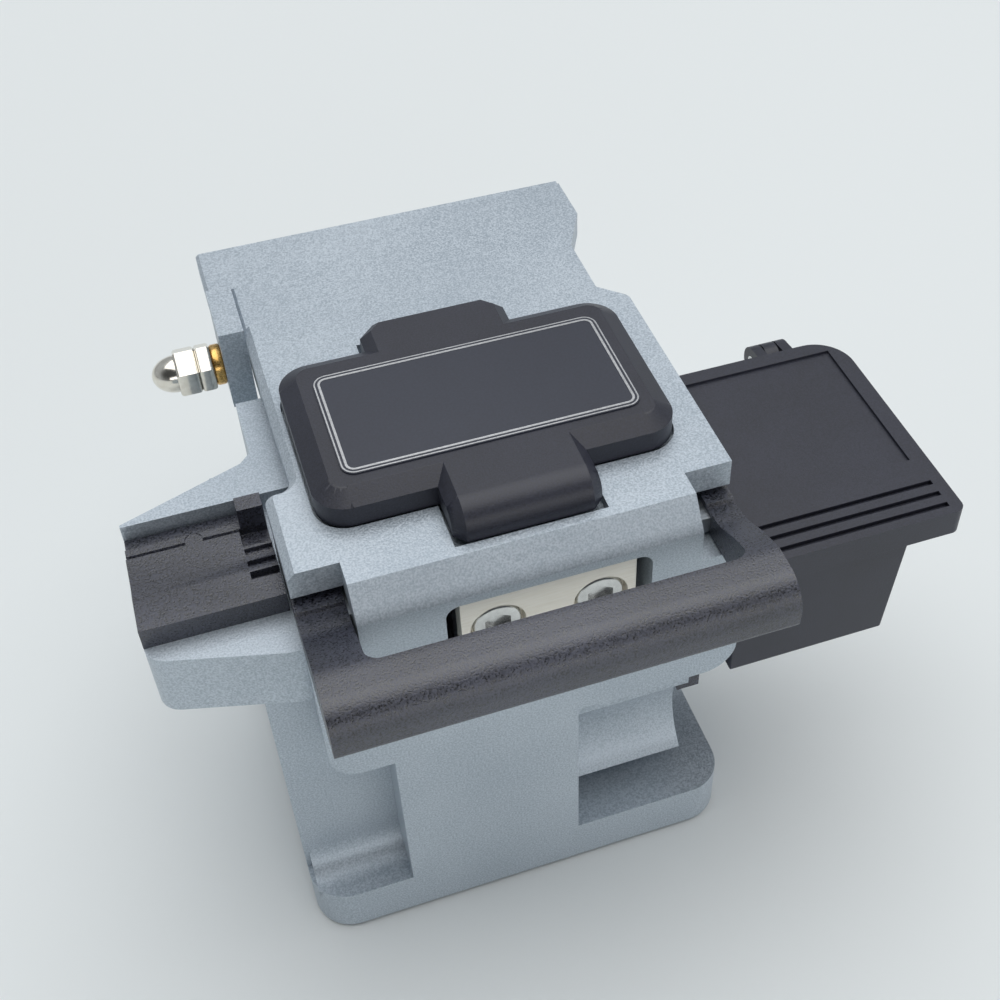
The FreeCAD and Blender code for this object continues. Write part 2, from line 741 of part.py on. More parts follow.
body = new_body("latch_magnets")
rod(body, "Pad", "Magnets", "XY", "block_top - magnet_height", "magnet_height",
    *at_each(magnet_places, "magnet_diameter / 2"))
body = new_body("lid_strikers")
rod(body, "Pad", "Strikers", "XY", "block_top", "striker_height",
    *at_each(magnet_places, "magnet_diameter / 2"))

# ---------------------------------------------------------------- lid plate
body = new_body("lid_plate")
prism(body, "Pad", "Plate", "XY", "block_top", "lid_top - block_top",
      [("-block_width / 2", "0"), ("block_width / 2", "0"),
       ("block_width / 2", "ear_front"), ("body_width / 2", "ear_front"),
       ("body_width / 2", "waist_front"), ("waist_reach", "waist_front + 3"),
       ("waist_reach", "waist_rear + 3"), ("body_width / 2", "tail_front + 1.8"),
       ("body_width / 2", "lid_rear"), ("-body_width / 2", "lid_rear"),
       ("-body_width / 2", "tail_front + 1.8"), ("-left_edge", "tail_front + 1.8"),
       ("-left_edge", "ear_rear"), ("-body_width / 2", "ear_rear"),
       ("-body_width / 2", "ear_front"), ("-block_width / 2", "ear_front")])
soften(body, "Fillet", "OuterCorners", "ear_corner", 2,
       [(-half_body, val("ear_rear")), (-val("left_edge"), val("ear_rear")),
        (half_body, val("waist_front"))])
prism(body, "Pocket", "SlantedFront", "YZ", "-block_width / 2 - 1", "block_width + 2",
      [("-1", "block_top"), ("0", "block_top"), ("lid_front", "lid_top"),
       ("lid_front", "lid_top + 1"), ("-1", "lid_top + 1")])
soften(body, "Chamfer", "LeftBevel", "edge_bevel", 1,
       [(-half_body, val("lid_top")), (-val("left_edge"), val("lid_top"))])
for name, depth, across, along, radius in (
        ("Panel", "panel_step", "panel_arc_across", "panel_arc_along", "panel_arc"),
        ("Tail", "tail_step", "tail_arc_across", "tail_arc_along", "tail_arc")):
    rod(body, "Pocket", name + "Step", "XY", "lid_top - " + depth, depth + " + 1",
        (across, along, radius), (across, along, radius + " + 60"))
arc_edge = edges_where(body.Tip.Shape, lambda e: (
    e.Curve.TypeId == "Part::GeomCircle" and abs(e.Curve.Radius - val("tail_arc")) < 0.01
    and abs(e.BoundBox.ZMin - val("lid_top") + val("panel_step")) < 0.01
    and e.BoundBox.ZLength < 0.01))
dress(body, "Chamfer", "StepBevel", "step_bevel - panel_step", arc_edge)
prism(body, "Pad", "AxleLugs", "YZ", "-body_width / 2", "lug_thickness",
      [("lug_front", "lug_bottom"), ("lug_rear", "lug_bottom"),
       ("lug_rear", "lid_top"), ("lug_front", "lid_top")])
prism(body, "Pad", "AxleLugRight", "YZ", "waist_reach - lug_thickness", "lug_thickness",
      [("lug_front", "lug_bottom"), ("lug_rear", "lug_bottom"),
       ("lug_rear", "block_top + 1"), ("lug_front", "block_top + 1")])
rod(body, "Pocket", "AxleBores", "YZ", "-body_width / 2 - 1", "body_width + 2",
    ("hinge_line", "hinge_height", "axle_diameter / 2 + fit"))
pad_left = "pad_centre - pad_width / 2"
pad_right = "pad_centre + pad_width / 2"
pad_low = "pad_middle - pad_depth / 2"
pad_high = "pad_middle + pad_depth / 2"
tab_left = "tab_centre - tab_width / 2"
tab_right = "tab_centre + tab_width / 2"
strap_left = "strap_centre - strap_width / 2"
strap_right = "strap_centre + strap_width / 2"
prism(body, "Pocket", "PadRecess", "XY", "lid_top - pad_recess", "pad_recess + 1",
      [(pad_left + " - pad_margin", pad_low + " - pad_margin"),
       (tab_left + " - pad_margin", pad_low + " - pad_margin"),
       (tab_left + " - pad_margin", "tab_front - pad_margin"),
       (tab_right + " + pad_margin", "tab_front - pad_margin"),
       (tab_right + " + pad_margin", pad_low + " - pad_margin"),
       (pad_right + " + pad_margin", pad_low + " - pad_margin"),
       (pad_right + " + pad_margin", pad_high + " + pad_margin"),
       (strap_right + " + pad_margin", pad_high + " + pad_margin"),
       (strap_right + " + pad_margin", "strap_rear + pad_margin"),
       (strap_left + " - pad_margin", "strap_rear + pad_margin"),
       (strap_left + " - pad_margin", pad_high + " + pad_margin"),
       (pad_left + " - pad_margin", pad_high + " + pad_margin")])
recess = [(val("pad_centre") + sx * (val("pad_width") / 2.0 + val("pad_margin")),
           val("pad_middle") + sy * (val("pad_depth") / 2.0 + val("pad_margin")))
          for sx in (-1, 1) for sy in (-1, 1)]
soften(body, "Fillet", "RecessCorners", "pad_corner", 2, recess)
prism(body, "Pocket", "PadCutout", "XY", "block_top - 1", "lid_top - block_top + 2",
      rectangle("pad_centre - stem_width / 2 - slide_gap", "pad_centre + stem_width / 2 + slide_gap",
                "fibre_line - stem_depth / 2 - slide_gap", "fibre_line + stem_depth / 2 + slide_gap"))
rod(body, "Pocket", "GuidePinHoles", "XY", "block_top - 1", "lid_top - block_top + 2",
    *at_each(pin_places, "guide_pin_diameter / 2 + fit"))
prism(body, "Pocket", "ClampSeats", "XY", "block_top - 1", "clamp_recess + 1",
      rectangle("-clamp_left - clamp_width / 2 + 0.3", "-clamp_left + clamp_width / 2 - 0.3",
                "fibre_line - clamp_length / 2 + 0.3", "fibre_line + clamp_length / 2 - 0.3"),
      rectangle("clamp_right - clamp_width / 2 + 0.3", "clamp_right + clamp_width / 2 - 0.3",
                "fibre_line - clamp_length / 2 + 0.3", "fibre_line + clamp_length / 2 - 0.3"))
rod(body, "Pocket", "StrikerSeats", "XY", "block_top - 1", "striker_height + 1",
    *at_each(magnet_places, "magnet_diameter / 2"))

# ---------------------------------------------------------------- press pad
body = new_body("press_pad")
prism(body, "Pad", "FrontTab", "XY", "lid_top", "pad_top - lid_top",
      rectangle(tab_left, tab_right, "tab_front", "pad_middle - 1"))
tab_ends = [val("tab_centre") + side * val("tab_width") / 2.0 for side in (-1, 1)]
soften(body, "Fillet", "TabRound", "tab_round", 0, [(val("tab_front"), val("pad_top"))])
soften(body, "Chamfer", "TabBevel", "bevel_down", 1,
       [(across, val("pad_top")) for across in tab_ends])
prism(body, "Pad", "RearStrap", "XY", "lid_top", "pad_top - lid_top",
      [(strap_left, "pad_middle + 1"), (strap_right, "pad_middle + 1"),
       (strap_right, "strap_rear - strap_clip"), (strap_right + " - strap_clip", "strap_rear"),
       (strap_left + " + strap_clip", "strap_rear"), (strap_left, "strap_rear - strap_clip")])
strap_tops = edges_where(body.Tip.Shape, lambda e: (
    abs(e.BoundBox.ZMin - val("pad_top")) < 0.01
    and e.CenterOfMass.y > val("pad_middle") + 1.5))
dress(body, "Chamfer", "StrapBevel", "bevel_down", strap_tops)
cushion = (pad_left, pad_right, pad_low, pad_high, "pad_corner")
rounded(body, "Pad", "Cushion", "XY", "lid_top", "pad_top - bevel_down - lid_top", *cushion)
rounded(body, "Pad", "CushionBevel", "XY", "pad_top - bevel_down", "bevel_down", *cushion,
        taper="-atan(bevel_across / bevel_down)")
prism(body, "Pad", "Stem", "XY", "fibre_height + anvil_height + pad_travel",
      "lid_top + 1 - fibre_height - anvil_height - pad_travel",
      rectangle("pad_centre - stem_width / 2", "pad_centre + stem_width / 2",
                "fibre_line - stem_depth / 2", "fibre_line + stem_depth / 2"))
label = ("label_centre - label_width / 2", "label_centre + label_width / 2",
         "label_middle - label_depth / 2", "label_middle + label_depth / 2", "label_corner")
rounded(body, "Pocket", "LabelSeat", "XY", "pad_top - label_seat", "2", *label)
rod(body, "Pocket", "PinHoles", "XY", "lid_top - 1", "2.4",
    *at_each(pin_places, "guide_pin_diameter / 2"))

body = new_body("label_plate")
rounded(body, "Pad", "Plate", "XY", "pad_top - label_seat", "label_thickness", *label)

body = new_body("anvil")
prism(body, "Pad", "Block", "XY", "fibre_height + pad_travel", "anvil_height",
      rectangle("pad_centre - anvil_width / 2", "pad_centre + anvil_width / 2",
                "fibre_line - anvil_depth / 2", "fibre_line + anvil_depth / 2"))

body = new_body("pad_guide_pins")
rod(body, "Pad", "Pins", "XY", "block_top + pad_travel + 0.2",
    "lid_top + 1.4 - block_top - pad_travel - 0.2",
    *at_each(pin_places, "guide_pin_diameter / 2"))

body = new_body("pad_springs")
rod(body, "Pad", "Coils", "XY", "lid_top - pad_recess", "pad_recess",
    *at_each(pin_places, "guide_pin_diameter / 2 + 0.7"))
rod(body, "Pocket", "Bores", "XY", "lid_top - pad_recess - 1", "pad_recess + 2",
    *at_each(pin_places, "guide_pin_diameter / 2 + 0.3"))

# ---------------------------------------------------------------- hinge axle and nuts
lug_face = "-body_width / 2"
body = new_body("hinge_axle")
rod(body, "Pad", "Shaft", "YZ", lug_face + " - washer_thickness - axle_thread",
    "body_width / 2 + washer_thickness + axle_thread + waist_reach",
    ("hinge_line", "hinge_height", "axle_diameter / 2"))

body = new_body("spring_washer")
rod(body, "Pad", "Ring", "YZ", lug_face + " - washer_thickness", "washer_thickness",
    ("hinge_line", "hinge_height", "washer_diameter / 2"),
    ("hinge_line", "hinge_height", "axle_diameter / 2"))


def hexagon(centre_y, centre_z, flats, turned=0.0):
    """Six corners of a hexagon with two flats level, or turned by some degrees."""
    corners = []
    for index in range(6):
        angle = 60.0 * index + turned
        across = "%s + %s / sqrt(3) * %.6f" % (centre_y, flats, math.cos(math.radians(angle)))
        along = "%s + %s / sqrt(3) * %.6f" % (centre_z, flats, math.sin(math.radians(angle)))
        corners.append((across, along))
    return corners


body = new_body("lock_nut")
prism(body, "Pad", "Hexagon", "YZ", lug_face + " - washer_thickness - lock_nut_height",
      "lock_nut_height", hexagon("hinge_line", "hinge_height", "nut_flats"))
rod(body, "Pocket", "Bore", "YZ", lug_face + " - washer_thickness - lock_nut_height - 1",
    "lock_nut_height + 2", ("hinge_line", "hinge_height", "axle_diameter / 2"))

body = new_body("cap_nut")
nut_face = lug_face + " - washer_thickness - lock_nut_height"
prism(body, "Pad", "Hexagon", "YZ", nut_face + " - cap_nut_height", "cap_nut_height",
      hexagon("hinge_line", "hinge_height", "nut_flats", 30.0))
rod(body, "Pad", "Dome", "YZ", nut_face + " - cap_nut_height - cap_nut_dome",
    "cap_nut_dome + 0.2", ("hinge_line", "hinge_height", "cap_nut_dome_diameter / 2"))
dome_end = -half_body - sum(val(name) for name in (
    "washer_thickness", "lock_nut_height", "cap_nut_height", "cap_nut_dome"))
dress(body, "Fillet", "DomeRound", "cap_nut_dome_diameter / 2 - 0.25",
      top_edges(body.Tip.Shape, dome_end, 0))
rod(body, "Pocket", "Bore", "YZ",
    lug_face + " - washer_thickness - axle_thread", "axle_thread - lock_nut_height + 1",
    ("hinge_line", "hinge_height", "axle_diameter / 2"))

# ---------------------------------------------------------------- slider handle
body = new_body("slider_handle")
prism(body, "Pad", "Section", "YZ", "-body_width / 2", "body_width",
      [("arm_rear", "side_deck + slide_gap"), ("arm_rear", "arm_top"),
       ("4.6", "arm_top"), ("4.4", "arm_top - arm_step"),
       ("1.0", "arm_top + 0.1"), ("-2.6", "bar_crest - 1.3"),
       ("-bar_rear", "bar_crest"), ("-bar_front", "bar_crest - 0.25"),
       ("-bar_front + 0.2", "side_deck + slide_gap")])
for name, radius, along, height in (
        ("FrontRound", "front_round", -val("bar_front"), val("bar_crest") - 0.25),
        ("CrestRound", "crest_round", -val("bar_rear"), val("bar_crest")),
        ("NeckRound", "crest_round", 1.0, val("arm_top") + 0.1),
        ("LipRound", "lip_round", 0.2 - val("bar_front"), val("side_deck") + val("slide_gap"))):
    soften(body, "Fillet", name, radius, 0, [(along, height)])
prism(body, "Pocket", "Opening", "XY", "side_deck - 2", "12",
      rectangle("-opening_left", "opening_right", "-bar_rear", "arm_rear + 1"))
soften(body, "Fillet", "OpeningCorners", "opening_corner", 2,
       [(-val("opening_left"), -val("bar_rear")), (val("opening_right"), -val("bar_rear"))])
prism(body, "Pocket", "YokeSeats", "XY", "yoke_foot", "yoke_height",
      rectangle("-opening_left - 2.5", "opening_right + 1.6", "yoke_front",
                "yoke_front + yoke_depth"))

body = new_body("slider_yoke")
prism(body, "Pad", "Bar", "XY", "yoke_foot", "yoke_height",
      rectangle("-opening_left - 2.5", "opening_right + 1.6", "yoke_front",
                "yoke_front + yoke_depth"))

# ---------------------------------------------------------------- carriage
body = new_body("guide_rail")
prism(body, "Pad", "Rail", "XZ", "rail_front", "rail_length",
      [("window_centre - rail_width / 2", "cavity_floor"),
       ("window_centre + rail_width / 2", "cavity_floor"),
       ("window_centre + rail_width / 2", "cavity_floor + rail_height * 0.45"),
       ("window_centre + rail_width / 2 - rail_groove", "cavity_floor + rail_height * 0.6"),
       ("window_centre + rail_width / 2 - rail_groove", "cavity_floor + rail_height * 0.75"),
       ("window_centre + rail_width / 2", "cavity_floor + rail_height * 0.85"),
       ("window_centre + rail_width / 2", "cavity_floor + rail_height"),
       ("window_centre - rail_width / 2", "cavity_floor + rail_height"),
       ("window_centre - rail_width / 2", "cavity_floor + rail_height * 0.85"),
       ("window_centre - rail_width / 2 + rail_groove", "cavity_floor + rail_height * 0.75"),
       ("window_centre - rail_width / 2 + rail_groove", "cavity_floor + rail_height * 0.6"),
       ("window_centre - rail_width / 2", "cavity_floor + rail_height * 0.45")])
rod(body, "Pocket", "ScrewHoles", "XY", "cavity_floor - 1", "rail_height + 2",
    *at_each(rail_places, "small_screw / 2 + fit"))
rod(body, "Pocket", "Counterbores", "XY", "cavity_floor + rail_height - small_head_height - screw_sink",
    "small_head_height + 2",
    *at_each(rail_places, "small_head / 2 + fit"))

body = new_body("rail_screws")
rod(body, "Pad", "Shanks", "XY", "cavity_floor - rail_screw_depth",
    "rail_height + rail_screw_depth - 1",
    *at_each(rail_places, "small_screw / 2"))
rod(body, "Pad", "Heads", "XY", "cavity_floor + rail_height - small_head_height - screw_sink",
    "small_head_height",
    *at_each(rail_places, "small_head / 2"))

bearing_top = "cavity_floor + bearing_lift + bearing_height"
body = new_body("bearing_block")
prism(body, "Pad", "Block", "XZ", "bearing_front", "bearing_length",
      rectangle("window_centre - bearing_width / 2", "window_centre + bearing_width / 2",
                "cavity_floor + bearing_lift", bearing_top))
prism(body, "Pocket", "Channel", "XZ", "bearing_front - 1", "bearing_length + 2",
      rectangle("window_centre - rail_width / 2 - slide_gap / 3",
                "window_centre + rail_width / 2 + slide_gap / 3",
                "cavity_floor", "cavity_floor + rail_height + slide_gap / 3"))
rod(body, "Pocket", "ScrewHoles", "XY", bearing_top + " - 1.4", "2",
    *at_each(bearing_places, "small_screw / 2"),
    *at_each(right_bearing_places, "small_screw / 2"))

body = new_body("carriage_block")
prism(body, "Pad", "Base", "XY", bearing_top, "carriage_base",
      rectangle("window_centre - carriage_width / 2", "window_centre + carriage_width / 2",
                "carriage_front", "carriage_front + carriage_length"))
prism(body, "Pad", "FrontPost", "XY", bearing_top, "yoke_foot - cavity_floor"
      " - bearing_lift - bearing_height",
      rectangle("window_centre - carriage_width / 2", "window_centre + carriage_width / 2",
                "carriage_front", "yoke_front + yoke_depth - 0.6"))
prism(body, "Pad", "Cheek", "XY", bearing_top, "disc_height + 4.5 - cavity_floor"
      " - bearing_lift - bearing_height",
      rectangle("window_centre - disc_thickness / 2 - slide_gap - cheek_thickness",
                "window_centre - disc_thickness / 2 - slide_gap",
                "cheek_front", "cheek_front + cheek_depth"))
rod(body, "Pocket", "HubHole", "YZ",
    "window_centre - disc_thickness / 2 - slide_gap - cheek_thickness - 1",
    "cheek_thickness + 2", ("disc_centre", "disc_height", "screw_size / 2"))
prism(body, "Pocket", "DiscSlot", "XY", bearing_top + " - 1", "carriage_base + 2",
      rectangle("window_centre - disc_thickness / 2 - slide_gap",
                "window_centre + disc_thickness / 2 + slide_gap + 5.5",
                "disc_centre - disc_diameter / 2 - slide_gap - 0.2",
                "carriage_front + carriage_length + 1"))
rod(body, "Pocket", "BearingScrewHoles", "XY", bearing_top + " - 1", "carriage_base + 2",
    *at_each(bearing_places, "small_screw / 2 + fit"))
rod(body, "Pocket", "PlateScrewHoles", "XZ", "carriage_front - 1", "4.8",
    *at_each(plate_places, "screw_size / 2"))

body = new_body("bearing_screws")
rod(body, "Pad", "Shanks", "XY", bearing_top + " - 1.2", "carriage_base + 1.2",
    *at_each(bearing_places, "small_screw / 2"))
rod(body, "Pad", "Heads", "XY", bearing_top + " + carriage_base", "small_head_height",
    *at_each(bearing_places, "small_head / 2"))

body = new_body("front_plate")
prism(body, "Pad", "Plate", "XZ", "plate_front", "plate_thickness",
      rectangle("window_centre - plate_width / 2", "window_centre + plate_width / 2",
                "plate_bottom", "plate_top"))
rod(body, "Pocket", "ScrewHoles", "XZ", "plate_front - 1", "plate_thickness + 2",
    *at_each(plate_places, "screw_size / 2 + fit"))
rod(body, "Pocket", "Counterbores", "XZ", "plate_front - 1", "counterbore_depth + 1",
    *at_each(plate_places, "counterbore_width / 2"))

body = new_body("front_plate_screws")
rod(body, "Pad", "Heads", "XZ", "plate_front + 0.15", "counterbore_depth - 0.15",
    *at_each(plate_places, "plate_screw_head / 2"))
rod(body, "Pad", "Shanks", "XZ", "plate_front + counterbore_depth - 0.2",
    "plate_screw_length - counterbore_depth",
    *at_each(plate_places, "screw_size / 2"))
prism(body, "Pocket", "HexSockets", "XZ", "plate_front - 0.5", "1.5",
      hexagon("window_centre - plate_screw_pitch / 2", "plate_screw_height", "2.6"),
      hexagon("window_centre + plate_screw_pitch / 2", "plate_screw_height", "2.6"))

# ---------------------------------------------------------------- scoring disc
body = new_body("scoring_disc")
turn(body, "Revolution", "Blade", ("XY", "disc_height"), "disc_centre",
     [("window_centre - disc_thickness / 2", "disc_centre + disc_bore / 2"),
      ("window_centre - disc_thickness / 2", "disc_centre + disc_diameter / 2 - disc_edge * 1.6"),
      ("window_centre - 0.08", "disc_centre + disc_diameter / 2"),
      ("window_centre + 0.08", "disc_centre + disc_diameter / 2"),
      ("window_centre + disc_thickness / 2", "disc_centre + disc_diameter / 2 - disc_edge * 1.6"),
      ("window_centre + disc_thickness / 2", "disc_centre + disc_bore / 2")])

body = new_body("disc_hub")
hub_left = "window_centre - disc_thickness / 2 - slide_gap"
rod(body, "Pad", "Hub", "YZ", hub_left, "disc_thickness + slide_gap + 0.1",
    ("disc_centre", "disc_height", "disc_bore / 2 - fit"),
    ("disc_centre", "disc_height", "screw_size / 2 + fit"))

body = new_body("disc_cap")
rod(body, "Pad", "Cap", "YZ", hub_left + " + disc_thickness + slide_gap + 0.1",
    "cap_thickness", ("disc_centre", "disc_height", "cap_diameter / 2"),
    ("disc_centre", "disc_height", "screw_size / 2 + fit"))

body = new_body("disc_screw")
cap_face = hub_left + " + disc_thickness + slide_gap + 0.1 + cap_thickness"
rod(body, "Pad", "Head", "YZ", cap_face, "1.8",
    ("disc_centre", "disc_height", "disc_screw_head / 2"))
rod(body, "Pad", "Shank", "YZ", hub_left + " - cheek_thickness",
    "cheek_thickness + disc_thickness + slide_gap + 0.1 + cap_thickness + 0.2",
    ("disc_centre", "disc_height", "screw_size / 2"))
prism(body, "Pocket", "HexSocket", "YZ", cap_face + " + 0.8", "2",
      hexagon("disc_centre", "disc_height", "2.0"))

# ---------------------------------------------------------------- scrap box
body = new_body("scrap_box")
prism(body, "Pad", "Bin", "XZ", "box_front", "box_rear - box_front",
      [("box_left", "box_bottom"), ("box_right_bottom", "box_bottom"),
       ("box_right_top", "box_lid_bottom"), ("box_left", "box_lid_bottom")])
prism(body, "Pocket", "Hollow", "XZ", "box_front + box_wall",
      "box_rear - box_front - 2 * box_wall",
      [("box_left + box_wall", "box_bottom + box_wall"),
       ("box_right_bottom - box_wall", "box_bottom + box_wall"),
       ("box_right_top - box_wall", "box_lid_bottom + 1"),
       ("box_left + box_wall", "box_lid_bottom + 1")])
prism(body, "Pad", "HingeLug", "YZ", "box_hinge_left + box_knuckle_width + box_knuckle_gap",
      "box_hinge_right - box_hinge_left - 2 * (box_knuckle_width + box_knuckle_gap)",
      [("box_rear - box_lug_overlap", "box_lid_bottom - box_lug_root"),
       ("box_rear - box_lug_overlap", "box_lid_bottom - box_lug_gap"),
       ("box_hinge_line", "box_hinge_height"),
       ("box_hinge_line", "box_hinge_height - box_lug_drop")])
rod(body, "Pad", "HingeKnuckle", "YZ", "box_hinge_left + box_knuckle_width + box_knuckle_gap",
    "box_hinge_right - box_hinge_left - 2 * (box_knuckle_width + box_knuckle_gap)",
    ("box_hinge_line", "box_hinge_height", "box_knuckle_radius"))
rod(body, "Pocket", "PinBore", "YZ", "box_hinge_left", "box_hinge_right - box_hinge_left",
    ("box_hinge_line", "box_hinge_height", "box_pin_diameter / 2"))

body = new_body("scrap_box_lid")
prism(body, "Pad", "Plate", "XY", "box_lid_bottom", "box_lid_top - box_lid_bottom",
      rectangle("box_left", "box_lid_right", "box_lid_front", "box_lid_rear - 0.6"))
soften(body, "Fillet", "FrontCorner", "box_lid_front_corner", 2,
       [(val("box_lid_right"), val("box_lid_front"))])
soften(body, "Fillet", "RearCorner", "box_lid_rear_corner", 2,
       [(val("box_lid_right"), val("box_lid_rear") - 0.6)])
prism(body, "Pocket", "TopRecess", "XY", "box_lid_top - lid_recess", "2",
      rectangle("recess_left", "recess_right", "recess_front", "recess_rear"))
prism(body, "Pocket", "Grips", "XY", "box_lid_top - grip_depth", "2",
      *[rectangle("grip_left", "grip_right",
                  "grip_first + %d * grip_pitch - grip_width / 2" % index,
                  "grip_first + %d * grip_pitch + grip_width / 2" % index)
        for index in range(3)])
for name, start in (("KnuckleLeft", "box_hinge_left"), ("KnuckleRight", "box_hinge_right - box_knuckle_width")):
    rod(body, "Pad", name, "YZ", start, "box_knuckle_width",
        ("box_hinge_line", "box_hinge_height", "box_knuckle_radius"))
    prism(body, "Pad", name + "Web", "YZ", start, "box_knuckle_width",
          [("box_lid_rear - box_web_root", "box_lid_bottom"),
           ("box_hinge_line", "box_hinge_height - box_web_root"),
           ("box_hinge_line", "box_hinge_height + box_knuckle_radius"),
           ("box_lid_rear - box_web_root", "box_lid_top - box_web_drop")])
rod(body, "Pocket", "PinBores", "YZ", "box_hinge_left - 1", "box_hinge_right - box_hinge_left + 2",
    ("box_hinge_line", "box_hinge_height", "box_pin_diameter / 2 + fit"))

body = new_body("scrap_lid_pin")
rod(body, "Pad", "Pin", "YZ", "box_hinge_left", "box_hinge_right - box_hinge_left",
    ("box_hinge_line", "box_hinge_height", "box_pin_diameter / 2"))

body = new_body("box_bracket")
prism(body, "Pad", "Plate", "YZ", "web_right", "bracket_thickness",
      rectangle("bracket_front", "bracket_rear", "bracket_bottom", "flange_bottom"))
prism(body, "Pad", "Shelf", "YZ", "web_right + bracket_thickness - 0.5",
      "box_left + bracket_reach - web_right - bracket_thickness",
      rectangle("bracket_front", "bracket_rear", "box_bottom - bracket_thickness", "box_bottom"))
rod(body, "Pocket", "ScrewHoles", "YZ", "web_right - 1", "bracket_thickness + 2",
    *at_each(bracket_places, "small_screw / 2 + fit"))

body = new_body("bracket_screws")
rod(body, "Pad", "Shanks", "YZ", "web_right - bracket_screw_depth",
    "bracket_thickness + bracket_screw_depth",
    *at_each(bracket_places, "small_screw / 2"))
rod(body, "Pad", "Heads", "YZ", "web_right + bracket_thickness", "small_head_height",
    *at_each(bracket_places, "small_head / 2"))

# ---------------------------------------------------------------- checks and export
doc.recompute()
for item in doc.Objects:
    if "Invalid" in item.State or "Error" in item.State:
        raise ValueError("%s is not built: %s" % (item.Name, item.State))
for node in NODES:
    shape = node.Shape
    if shape.isNull() or not shape.isValid() or not shape.Solids:
        raise ValueError("%s has no valid solid" % node.Label)

os.makedirs("parts", exist_ok=True)
for node in NODES:
    node.Shape.exportStep("parts/%s.step" % node.Label)
    box = node.Shape.BoundBox
    print("%-20s solids %d  volume %9.1f  x %.1f..%.1f  y %.1f..%.1f  z %.1f..%.1f" % (
        node.Label, len(node.Shape.Solids), node.Shape.Volume,
        box.XMin, box.XMax, box.YMin, box.YMax, box.ZMin, box.ZMax))
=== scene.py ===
"""Looks of the fibre cleaver.

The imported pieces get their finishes, the large ones also get broken edges, and the nuts, the
label and the screw heads get the detail that their solids leave out.
"""

import logging
import math
from dataclasses import dataclass
from enum import Enum
from typing import Optional

import bmesh
import bpy
from mathutils import Matrix, Vector


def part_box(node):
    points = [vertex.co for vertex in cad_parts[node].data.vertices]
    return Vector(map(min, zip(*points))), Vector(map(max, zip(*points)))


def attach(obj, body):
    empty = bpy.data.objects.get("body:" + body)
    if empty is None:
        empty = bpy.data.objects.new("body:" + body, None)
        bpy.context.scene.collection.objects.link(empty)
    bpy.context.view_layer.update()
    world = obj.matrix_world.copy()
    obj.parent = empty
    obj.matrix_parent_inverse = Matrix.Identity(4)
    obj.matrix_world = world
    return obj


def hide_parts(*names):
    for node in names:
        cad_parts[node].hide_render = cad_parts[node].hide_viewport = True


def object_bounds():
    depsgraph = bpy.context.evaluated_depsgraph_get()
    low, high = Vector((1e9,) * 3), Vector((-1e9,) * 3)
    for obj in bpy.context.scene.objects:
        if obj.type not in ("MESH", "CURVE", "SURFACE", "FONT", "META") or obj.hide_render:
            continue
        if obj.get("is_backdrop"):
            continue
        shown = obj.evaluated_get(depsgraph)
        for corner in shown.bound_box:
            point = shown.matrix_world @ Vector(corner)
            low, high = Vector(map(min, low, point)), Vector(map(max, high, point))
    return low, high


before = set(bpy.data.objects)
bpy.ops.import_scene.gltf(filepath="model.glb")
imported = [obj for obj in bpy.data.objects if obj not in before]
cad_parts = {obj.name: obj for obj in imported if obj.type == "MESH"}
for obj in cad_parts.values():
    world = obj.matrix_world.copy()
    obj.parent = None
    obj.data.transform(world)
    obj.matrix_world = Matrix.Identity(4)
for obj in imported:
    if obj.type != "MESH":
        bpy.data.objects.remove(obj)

LOG = logging.getLogger("fibre_cleaver")
MM = 0.001
LEVEL = 1e-7  # metres: two ends of an edge this close in height count as level
RIGHT_ANGLE = math.radians(90.0)
HEXAGON_SIDES = 6
ROUND_SIDES = 48
# Places of the Mix node's sockets, which share their names.
MIX_FACTOR, MIX_FIRST_VALUE, MIX_SECOND_VALUE = 0, 2, 3
MIX_FIRST_COLOUR, MIX_SECOND_COLOUR = 6, 7
MIX_VALUE_OUT, MIX_COLOUR_OUT = 0, 2


class Body(Enum):
    """The bodies of the frame that the finished pieces ride on."""

    BASE = "base"
    LID = "lid"
    PAD = "pad"
    SLIDER = "slider"
    BOX_LID = "box_lid"


# ------------------------------------------------------------------ materials
def linear(code: str) -> tuple[float, float, float, float]:
    """Turn an sRGB hex colour into linear values.

    Args:
        code: Six hex digits, such as "9AA4AD".

    Returns:
        Red, green, blue and an alpha of 1, in linear light.
    """
    values = [int(code[start:start + 2], 16) / 255.0 for start in (0, 2, 4)]
    red, green, blue = (value / 12.92 if value <= 0.04045 else ((value + 0.055) / 1.055) ** 2.4
                        for value in values)
    return red, green, blue, 1.0


def add_node(tree: bpy.types.NodeTree, kind: str, settings: Optional[dict] = None,
             links: Optional[dict] = None) -> bpy.types.Node:
    """Add a node to a tree and link its inputs.

    Args:
        tree: The node tree of a material or of the world.
        kind: The node's type name, such as "ShaderNodeTexNoise".
        settings: Attribute names, or input names or numbers, each with its value.
        links: Input names or numbers, each with the (node, output) that feeds it.

    Returns:
        The new node.
    """
    node = tree.nodes.new(kind)
    for name, value in (settings or {}).items():
        if isinstance(name, int) or name in node.inputs:
            node.inputs[name].default_value = value
        else:
            setattr(node, name, value)
    for name, (source, output) in (links or {}).items():
        tree.links.new(source.outputs[output], node.inputs[name])
    return node


